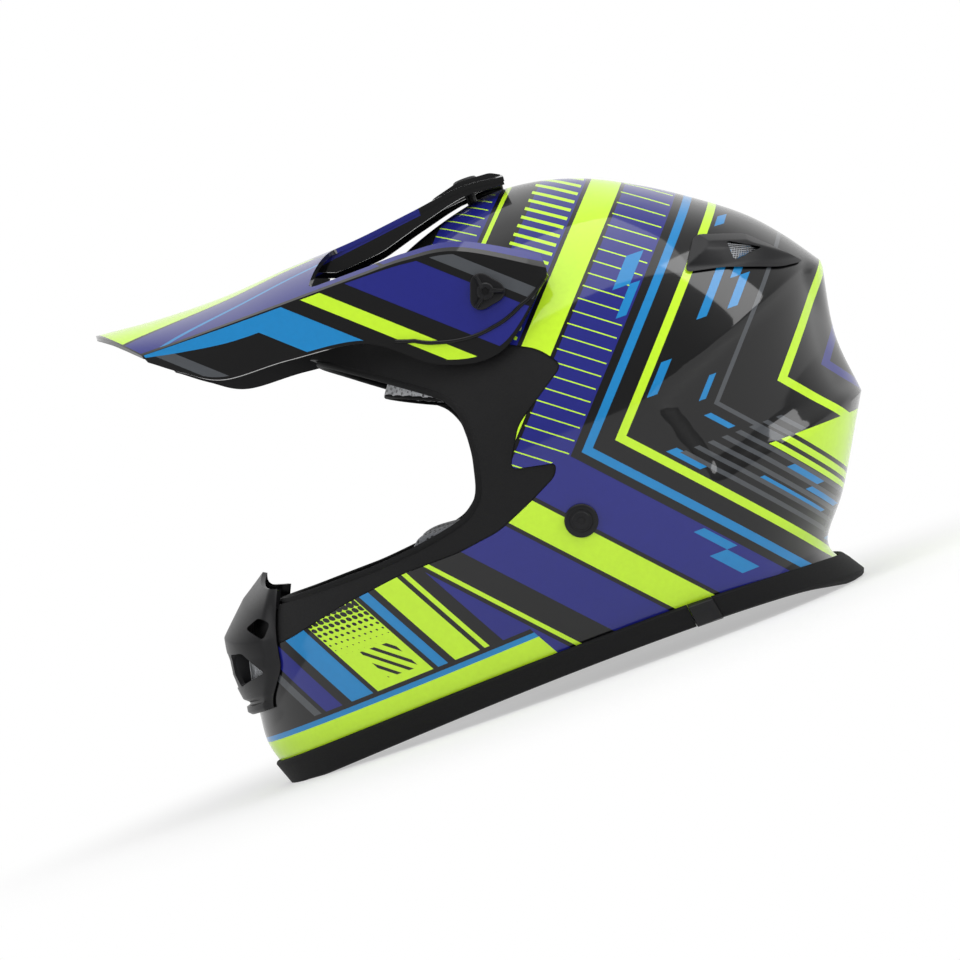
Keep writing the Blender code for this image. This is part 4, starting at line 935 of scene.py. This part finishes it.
head_of_screw = [(2.8, 0), (6.6, 0), (7, 0.4), (7, 1.8), (6.2, 2.7), (5, 3), (2.3, 3), (2.2, 1.2), (0, 1.2)]
screw = [(0, 258), (2.8, 258)] + [(radius, SCREW_SEAT + height) for radius, height in head_of_screw]
piece(
    "peak_top_screw_head", turned(screw, TOP_SCREW, 40), (SATIN,), "moulded_black", ["peak_top_screw"], "top_screw", 40
)

# Vents

VENT_TURN, VENT_ROWS, VENT_TOP_FALL = 25 * DEG, (2.05, 4.97), 0.45
MESH_RISE = 1.2
VENT_FACETS = (
    [0, 0.03, 0.085, 0.1, 0.125, 0.16, 0.4, 0.52, 0.66, 0.87, 1],
    [4.2, 6.4, 6.2, 3.9, 3.9, 7.2, 12.0, 12.4, 15.0, 7.0, -1.5],
)


def vent_depth(a, b):
    """The mouth vent's outer face: facets that stand proud of the shell along its middle."""
    ridge = 1 - np.abs(2 * a - 1) ** 1.6
    edge = 1.1 + 2.1 * smoothstep(0, 0.08, np.minimum(a, 1 - a))
    return -(edge + (np.interp(b, *VENT_FACETS) - 3.2) * ridge)


def vent_place(depth_of):
    """Places shares a across and b up the mouth vent at depths from the shell's face."""

    def place(a, b):
        kept = 1 - VENT_TOP_FALL / (VENT_ROWS[1] - VENT_ROWS[0]) * np.abs(2 * a - 1)
        rows = VENT_ROWS[0] + (VENT_ROWS[1] - VENT_ROWS[0]) * b * kept
        wide = VENT_TURN * (0.74 + 0.26 * smoothstep(0.02, 0.42, b))
        return shell(rows, wide * (2 * a - 1), depth_of(a, b))

    return place


def vent_inside(a, b):
    """The mouth vent's inner face, which seats on the shell round its edge."""
    inner = np.minimum(vent_depth(a, b) + 2.6, -0.7)
    behind = np.where((a > 0.06) & (a < 0.94), inner, -0.7)
    return np.where(b > 0.88, vent_depth(a, b) + 2.6, behind)


mouth_cover = piece(
    "mouth_vent_guard", patch((96, 120), vent_place(vent_depth), vent_place(vent_inside)), (SATIN,), "moulded_black",
    ["mouth_vent_cover"], smooth=40,
)
MOUTH_WINDOWS = (
    [(-12, 60), (12, 60), (14, 70), (10, 80), (-10, 80), (-14, 70)],
    [(-44, 64), (-19, 60), (-17, 79), (-32, 78)],
    [(44, 64), (32, 78), (17, 79), (19, 60)],
)
NOSE_POCKET = [(-173, 90), (-163.5, 93.5), (-158, 88.5), (-165, 81)]
cuts = [cut(rounded(window, 2.5), "X", -FAR, -100) for window in MOUTH_WINDOWS]
for _, side in SIDES:
    cuts.append(cut(rounded(NOSE_POCKET, 2.5), "Y", *sorted((side * 12, side * FAR))))
carve(mouth_cover, cuts)


def partition(side, turn):
    """One face of a wall behind the mouth vent, this many degrees to a side."""

    def place(c, b):
        rows = 2.5 + 1.4 * b
        up = (rows - VENT_ROWS[0]) / (VENT_ROWS[1] - VENT_ROWS[0])
        front = vent_depth(np.full_like(b, 0.5 + turn * DEG / VENT_TURN / 2), up)
        return shell(rows, np.full_like(b, side * turn * DEG), -1.9 + c * (front + 3.4))

    return place


for side_name, side in SIDES:
    wall = patch((8, 24), partition(side, 7.0), partition(side, 8.0))
    piece(f"mouth_vent_partition_{side_name}", wall, (SATIN,), "moulded_black")


def wire_mesh(name, node, counts, place, keep=()):
    """Expanded wire mesh: diamonds of 0.5 mm wire over a placed surface, carved to an outline if one is given."""
    bm = bmesh.new()
    bend_grid(bm, counts, place)
    square = [e for e in bm.edges if not e.is_boundary]
    bmesh.ops.poke(bm, faces=bm.faces)
    bmesh.ops.dissolve_edges(bm, edges=square)
    bmesh.ops.wireframe(bm, faces=bm.faces, thickness=0.5, use_replace=True, use_boundary=True, use_even_offset=True)
    bmesh.ops.recalc_face_normals(bm, faces=bm.faces)
    made = piece(name, bm, (WIRE,), "plated_steel", [node], smooth=60)
    if keep:
        carve(made, keep)


wire_mesh(
    "mouth_vent_wires", "mouth_vent_mesh", (42, 16),
    lambda a, b: shell(2.55 + 1.17 * b, -VENT_TURN * 0.72 + 1.44 * VENT_TURN * a, np.full_like(a, -MESH_RISE)),
)
REAR_VENT = [(117, 189), (130, 207), (157, 199), (184, 174), (169, 175), (138, 185)]
REAR_WINDOW = [(145, 186.5), (145, 198), (163, 188.5)]
corners = np.array([shell_at(x, z) for x, z in REAR_WINDOW])
LOW_CORNER, HIGH_CORNER = corners.min(axis=0) - 0.04, corners.max(axis=0) + 0.04
for side_name, side in SIDES:
    low, high = sorted((side * 5, side * FAR))

    def over(rise):
        """Places shares on a skin over the shell, lifted by a function of how far in from the vent's outline it is."""
        first, last = side * 100 * DEG, side * 176 * DEG

        def place(a, b):
            rows, turn = 4.7 + 2.9 * b, first + (last - first) * a
            face = shell_face(rows, turn)
            return shell(rows, turn, -rise(inset(REAR_VENT, face[:, 0], face[:, 2], 20.0)))

        return place

    hood = patch((150, 96), over(lambda inside: 1.3 + np.clip(0.5 * inside, 0, 3.7)), over(lambda inside: 0.7))
    cover = piece(
        f"rear_vent_{side_name}_hood", hood, (SATIN,), "moulded_black", [f"rear_vent_cover_{side_name}"], smooth=40
    )
    carve(
        cover, [cut(rounded(REAR_VENT, 4), "Y", low, high, "INTERSECT"), cut(rounded(REAR_WINDOW, 2), "Y", low, high)]
    )
    wire_mesh(
        f"rear_vent_{side_name}_wires", f"rear_vent_mesh_{side_name}", (14, 10),
        lambda a, b: shell(
            LOW_CORNER[0] + (HIGH_CORNER[0] - LOW_CORNER[0]) * b,
            side * (LOW_CORNER[1] + (HIGH_CORNER[1] - LOW_CORNER[1]) * a), np.full_like(a, -MESH_RISE),
        ),
        [cut(grown(REAR_WINDOW, -FIT), "Y", low, high, "INTERSECT")],
    )

# Bead-foam liners

INNER_FACE = WALL + 0.8
FACE_OUTLINE = [
    (-230, 290), (-100, 227), (-19, 173), (-14, 160), (-15, 124), (-19, 108), (44, 108), (44, 30), (-230, 30),
]


def cavity_face(a, b):
    """Half an ellipsoid for the head, carried straight down from its widest."""
    turn = 2 * math.pi * a
    dome = head(np.minimum(b / 0.75, 1) * math.pi / 2, turn)
    skirt = head(np.full_like(a, math.pi / 2), turn) - np.outer((b - 0.75) * 4 * 150, (0, 0, 1))
    return np.where((b < 0.75)[:, None], dome, skirt)


LINER_LOW = 2.7
crown_foam = piece(
    "crown_foam",
    grid((144, 72), lambda a, b: shell(LINER_LOW + (CROWN - LINER_LOW) * b, 2 * math.pi * a, WALL + FIT), 2e-3),
    (FOAM,), "bead_foam", ["eps_crown_liner"],
)
carve(
    crown_foam,
    [
        ("DIFFERENCE", grid((96, 48), cavity_face, 2e-3)), cut(rounded(FACE_OUTLINE, 6)), cut(grown(EYEPORT, 6)),
        bore(INSERT_POCKET, 240, 300, TOP_SCREW, 24),
        *(bore(INSERT_POCKET, 70, 160, pivot(side), 24) for _, side in SIDES),
    ],
)
chin_foam = piece(
    "chin_foam", shell_wall(INNER_FACE, INNER_FACE + 18, (1.0, 3.0), (-50 * DEG, 50 * DEG), (60, 20)), (FOAM,),
    "bead_foam", ["eps_chin_liner"],
)
carve(chin_foam, [cut(rounded(CHIN_DUCT, 2), "X", -FAR, -100)])

# Lining pads: foam in mesh cloth, swollen by a cloth simulation, then drawn in along their sewn channels

CLOTH_FRAMES = 20
HELD_WITHIN, SEWN_WITHIN = 2.6, 8  # mm from a pad's back and from its front
HEAD_GAP = 0.8


def bulge(a, b, power=4):
    """A cushion's fullness at shares a and b: full in the middle, drawn in at every side."""
    return (1 - np.abs(2 * a - 1) ** power) * (1 - np.abs(2 * b - 1) ** power)


def channel(share, at, width):
    """A sewn channel's fall across a share."""
    return np.exp(-(((share - at) / width) ** 2))


def swell(obj, voxel, cap, back):
    """Blows a pad up as cloth under pressure, held at its back; no point moves further than cap mm."""
    remesh = obj.modifiers.new("remesh", "REMESH")
    remesh.mode = "VOXEL"
    remesh.voxel_size = voxel * MM
    apply_modifiers(obj, 180)
    start = np.array([v.co for v in obj.data.vertices])
    held = obj.vertex_groups.new(name="held")
    held.add([int(i) for i in np.flatnonzero(back(start / MM))], 1.0, "REPLACE")
    cloth = obj.modifiers.new("cloth", "CLOTH")
    cloth.settings.use_pressure = True
    cloth.settings.uniform_pressure_force = 4
    cloth.settings.effector_weights.gravity = 0
    cloth.settings.vertex_group_mass = "held"
    cloth.point_cache.frame_end = CLOTH_FRAMES
    for step in range(1, CLOTH_FRAMES + 1):
        bpy.context.scene.frame_set(step)
    moved = np.array([v.co for v in worked_out(obj).data.vertices]) - start
    far = np.linalg.norm(moved, axis=1)[:, None]
    moved *= np.minimum(1, cap * MM / np.maximum(far, 1e-9))
    obj.modifiers.clear()
    obj.vertex_groups.clear()
    obj.data.vertices.foreach_set("co", (start + moved).ravel())
    bpy.context.scene.frame_set(1)


def nearest(points):
    """A search tree of points."""
    tree = KDTree(len(points))
    for i, co in enumerate(points):
        tree.insert(co, i)
    tree.balance()
    return tree


def pad(name, node, where, spans, depth, front, sewn, counts, material, voxel=4.0, cap=4.0):
    """A pad between a depth and a crowned front; sewn gives its channels' depth. Returns its places by height."""
    (a0, a1), (b0, b1) = spans

    def at(height):
        return lambda a, b: where(b0 + (b1 - b0) * b, a0 + (a1 - a0) * a, height(a, b))

    def back(a, b):
        return np.full_like(a, depth)

    settle = 1.8
    bm = patch(counts, at(lambda a, b: back(a, b) + 0.1), at(lambda a, b: front(a, b) - settle * bulge(a, b, 2)))
    made = piece(name, bm, (), "mesh_lining", [node], smooth=180)
    shares = [s.ravel() for s in np.meshgrid(np.linspace(0, 1, 160), np.linspace(0, 1, 60))]
    face, rear = at(front)(*shares), at(back)(*shares)
    behind = nearest(rear)
    swell(made, voxel, cap, lambda points: np.array([behind.find(p)[2] for p in points]) < HELD_WITHIN)
    before = nearest(face)
    inwards = rear - face
    inwards /= np.linalg.norm(inwards, axis=1)[:, None]
    press = sewn(*shares)
    finer = made.modifiers.new("finer", "SUBSURF")
    finer.levels = finer.render_levels = 1
    apply_modifiers(made, 180)
    for vert in made.data.vertices:
        _, i, gap = before.find(vert.co / MM)
        vert.co += Vector(inwards[i]) * float(press[i] * max(0.0, 1 - gap / SEWN_WITHIN)) * MM
    paint(made, material)
    return at


def stitches(name, points, length=2.6, gap=1.6, thick=0.45):
    """A row of thread stitches along points, each a small spindle."""
    bm = bmesh.new()
    path = [Vector(p) for p in points]
    travelled, next_at = 0.0, 1.0
    for a, b in zip(path, path[1:]):
        run = (b - a).length
        while next_at < travelled + run:
            middle = a + (b - a) * ((next_at - travelled) / run)
            turn = (b - a).to_track_quat("Z", "Y").to_matrix().to_4x4()
            shape = Matrix.Translation(middle) @ turn @ Matrix.Diagonal((thick, thick, length / 2, 1))
            bmesh.ops.create_icosphere(bm, subdivisions=1, radius=1, matrix=shape)
            next_at += length + gap
        travelled += run
    piece(name, bm, (THREAD,), "mesh_lining", smooth=60)


def edge_piping(name, at, height, closed_turn=False):
    """A cord sewn round a pad's front edge, or along its lower edge where the pad runs all the way round."""
    if closed_turn:
        a, b = np.linspace(0, 1, 121)[:-1], np.full(120, 0.97)
    else:
        t = np.linspace(0.04, 0.96, 40)
        low, high = np.full_like(t, 0.03), np.full_like(t, 0.97)
        a, b = np.concatenate([t, high, t[::-1], low]), np.concatenate([low, t, high, t[::-1]])
    bead(name, at(lambda a, b: np.full_like(a, height))(a, b), 1.1, True, RUBBER, "mesh_lining")


def cheek(v, turn, depth):
    """Points under the shell, drawn up towards the front so that the pad swells over the eyeport's lower edge."""
    forward = np.clip((80 * DEG - np.abs(turn)) / (23 * DEG), 0, 1)
    return shell(v + 0.55 * forward * (1 - 0.85 * forward**12) * smoothstep(2.2, 3.7, v), turn, depth)


def cheek_front(a, b):
    return INNER_FACE + 12 + 27 * bulge(a, b)


def cheek_channel(a, b):
    return 5.5 * channel(b, 0.62, 0.06) * bulge(a, b, 8)


for side_name, side in SIDES:
    at = pad(
        f"cheek_cushion_{side_name}", f"cheek_pad_{side_name}", cheek,
        ((side * 57 * DEG, side * 80 * DEG), (0.95, 3.7)), INNER_FACE, cheek_front, cheek_channel, (40, 48), DARK_MESH,
    )
    t = np.linspace(0.08, 0.92, 40)
    for row, offset in enumerate((0.565, 0.675)):
        sewn_face = at(lambda a, b: cheek_front(a, b) - cheek_channel(a, b) + 0.3)
        stitches(f"cheek_stitching_{side_name}_{row}", sewn_face(t, np.full_like(t, offset)))
    edge_piping(f"cheek_piping_{side_name}", at, INNER_FACE + 11.6)


def neck_front(a, b):
    return INNER_FACE + 8 + 12 * bulge(a, b)


at = pad(
    "neck_cushion", "neck_roll", shell, ((math.pi - 84 * DEG, math.pi + 84 * DEG), (0.75, 2.1)), INNER_FACE, neck_front,
    lambda a, b: 3.5 * (channel(a, 0.34, 0.014) + channel(a, 0.66, 0.014)) * bulge(a, b, 8), (120, 24), DARK_MESH,
)
edge_piping("neck_piping", at, INNER_FACE + 7.6)


def crown_front(a, b):
    return HEAD_GAP + 3 + 5 * (1 - np.abs(2 * b - 1) ** 4) * (1 - 0.75 * np.abs(np.cos(6 * math.pi * a)) ** 10)


at = pad(
    "crown_cushion", "crown_pad", head, ((0, 2 * math.pi), (12 * DEG, 45 * DEG)), HEAD_GAP, crown_front,
    lambda a, b: 0.6 * np.abs(np.cos(6 * math.pi * a)) ** 10, (180, 28), PALE_MESH, 2.5, 2.5,
)
edge_piping("crown_piping", at, 3.4, True)


def brow_front(a, b):
    return HEAD_GAP + 1.2 + 6.8 * bulge(a, b, 3)


def brow(down, turn, depth):
    """Points in the headform cavity, lower at the temples than over the nose."""
    return head(down + 14 * DEG * (1 - np.cos(turn)) / (1 - math.cos(66 * DEG)), turn, depth)


at = pad(
    "brow_cushion", "brow_pad", brow, ((-66 * DEG, 66 * DEG), (47 * DEG, 58 * DEG)), HEAD_GAP, brow_front,
    lambda a, b: 2.2 * (channel(a, 0.3, 0.02) + channel(a, 0.7, 0.02)) * bulge(a, b, 8), (100, 24), PALE_MESH, 2.5, 2.5,
)
edge_piping("brow_piping", at, 2.2)

# Chin straps and D-ring


def strap(name, path):
    """Webbing 20 mm wide and 2 mm thick, swept along a path with rounded selvedges."""
    ring = np.array(rounded([(-10, -1), (10, -1), (10, 1), (-10, 1)], 0.9, 3))
    count = len(ring)
    points = np.array(path)
    heads = np.gradient(points, axis=0)
    faces = np.cross(heads, (1, 0, 0))
    faces /= np.linalg.norm(faces, axis=1)[:, None]
    wide = np.cross(faces, heads)
    wide /= np.linalg.norm(wide, axis=1)[:, None]

    def place(a, b):
        i = np.round(a * (len(points) - 1)).astype(int)
        k = np.round(b * count).astype(int) % count
        return points[i] + wide[i] * ring[k, :1] + faces[i] * ring[k, 1:]

    bm = grid((len(points) - 1, count), place)
    piece(f"{name}_webbing", bm, (WEBBING,), "woven_strap", [name], smooth=50)


RING_RADIUS = 1.8
for side_name, side in SIDES:
    face, normal = rivet_place(side)
    start = np.array(face - normal * (WALL + 1.6 + 1.6 + FIT + 2))
    path = start + np.array(
        [(0, 0, 0), (-0.75, -side * 1.5, -13), (-1.5, -side * 3, -26), (-2.5, -side * 11, -45), (-3, -side * 25, -55)]
    )
    run = list(guide(path, np.linspace(0, 4, 41)))
    way = guide(path, np.array([4.0]))[0] - guide(path, np.array([4 * 13 / 14]))[0]
    way[0] = 0
    way /= np.linalg.norm(way)
    if side < 0:
        over = np.array((0, way[2], -way[1]))
        over *= np.sign(over[2])
        reach = RING_RADIUS + FIT + 1
        bar = run[-1] + way * 2 - over * reach
        run[-1] = bar + over * reach - way * 0.5
        turns = np.arange(0, 193, 12) * DEG
        run += [bar + over * reach * math.cos(t) + way * reach * math.sin(t) for t in turns]
        ring_bar, ring_out = bar, way
    else:
        end = run[-1]
        run += [end + way * 12 * f for f in (0.33, 0.66, 1)]
        run += [end + way * (12 + 12 * f) + np.array((0, 0, f)) for f in (0.33, 0.66, 1)]
    strap(f"strap_{side_name}", run)

half, drop = 10 + 3.2, 21
loop = [(x, 0) for x in np.linspace(-half, half, 12)]
loop += [(half * math.cos(t), drop * 0.35 + drop * 0.65 * math.sin(t)) for t in np.linspace(0.05, math.pi - 0.05, 33)]
ring_points = [ring_bar + np.array((x, 0, 0)) + ring_out * d for x, d in loop]
bead("d_ring_bar", ring_points, RING_RADIUS, True, STEEL, "plated_steel", body="d_ring", stands_for=["d_ring"])

# CAD parts that keep their shape

for side_name, _ in SIDES:
    for node, material in (("peak_spacer", SATIN), ("peak_insert", BRASS), ("strap_anchor", STEEL)):
        paint(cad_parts[f"{node}_{side_name}"], material)
paint(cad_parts["peak_insert_top"], BRASS)

# Camera, floor and light


def staging():
    """A long lens level with the helmet, a white floor and five softboxes."""
    scene = bpy.context.scene
    camera = placed("camera", bpy.data.cameras.new("camera"))
    camera.data.lens = 133.9
    camera.data.sensor_width = 36
    right, up, back = (0.9391, 0, -0.3437), (0.3437, 0, 0.9391), (0, -1, 0)
    turn = Matrix((right, up, back)).transposed().to_4x4()
    camera.matrix_world = Matrix.Translation((-0.02344, -2.0, 0.12262)) @ turn
    scene.camera = camera

    bm = bmesh.new()
    bmesh.ops.create_grid(bm, x_segments=1, y_segments=1, size=8 / MM)
    floor = placed("floor", mesh_of("floor", bm))
    # Matt white paper: lit round the helmet, where its shadow falls, and plain white to the eye further off
    made, tree, shader, where = finish("white_paper", roughness=0.9, base_color=colour("F2F2F2"))
    paint(floor, made)
    rays = add(tree, "LightPath").node.outputs
    seen = rays["Is Camera Ray"]
    for name in ("Is Glossy Ray", "Is Transmission Ray"):
        seen = add(tree, "Math", (seen, rays[name]), operation="MAXIMUM")
    away = add(tree, "VectorMath", [where], "Value", operation="LENGTH")
    far = add(
        tree, "MapRange", {"Value": away, "From Min": 180.0, "From Max": 420.0, "To Min": 0.45},
        interpolation_type="SMOOTHSTEP",
    )
    share = add(tree, "Math", (seen, far), operation="MULTIPLY")
    white = add(tree, "Emission", {"Color": (1, 1, 1, 1), "Strength": 1.0})
    both = add(tree, "MixShader", (share, shader.outputs[0], white))
    tree.links.new(both, tree.nodes["Material Output"].inputs["Surface"])

    world = bpy.data.worlds.new("studio")
    scene.world = world
    world.use_nodes = True
    tree = world.node_tree
    rays = add(tree, "LightPath").node.outputs
    way = add(tree, "SeparateXYZ", [add(tree, "TexCoord", out="Generated")], "Y")
    behind = add(tree, "MapRange", {"Value": way, "From Min": -0.2, "From Max": 0.7})
    seen = add(tree, "Math", (rays["Is Glossy Ray"], behind), operation="MULTIPLY")
    for name in ("Is Camera Ray", "Is Transmission Ray"):
        seen = add(tree, "Math", (seen, rays[name]), operation="MAXIMUM")
    level = add(tree, "MapRange", {"Value": seen, "To Min": 0.3, "To Max": 1.0})
    background = tree.nodes["Background"]
    background.inputs["Color"].default_value = (1, 1, 1, 1)
    tree.links.new(level, background.inputs["Strength"])

    for name, place, aim, size, power in (
        ("key_softbox", (0.25, -0.5, 1.5), (0.0, 0, 0.15), (1.7, 1.3), 14),
        ("front_softbox", (-1.4, -0.9, 0.8), (0, 0, 0.12), (0.7, 1.1), 7),
        ("rear_softbox", (1.2, -0.5, 0.75), (0.1, 0, 0.12), (0.5, 1.0), 7),
        ("side_fill", (0.0, -2.4, 0.9), (0, 0, 0.12), (1.6, 0.5), 11),
        ("back_fill", (0.2, 1.6, 1.3), (0, 0, 0.12), (1.4, 0.8), 9.5),
    ):
        lamp = bpy.data.lights.new(name, "AREA")
        lamp.shape = "RECTANGLE"
        lamp.size, lamp.size_y = size
        lamp.energy = power
        holder = placed(name, lamp)
        holder.location = place
        holder.rotation_euler = (Vector(aim) - Vector(place)).to_track_quat("-Z", "Y").to_euler()
        holder.visible_glossy = not name.endswith("_fill")
    scene.view_settings.view_transform = "Standard"


staging()
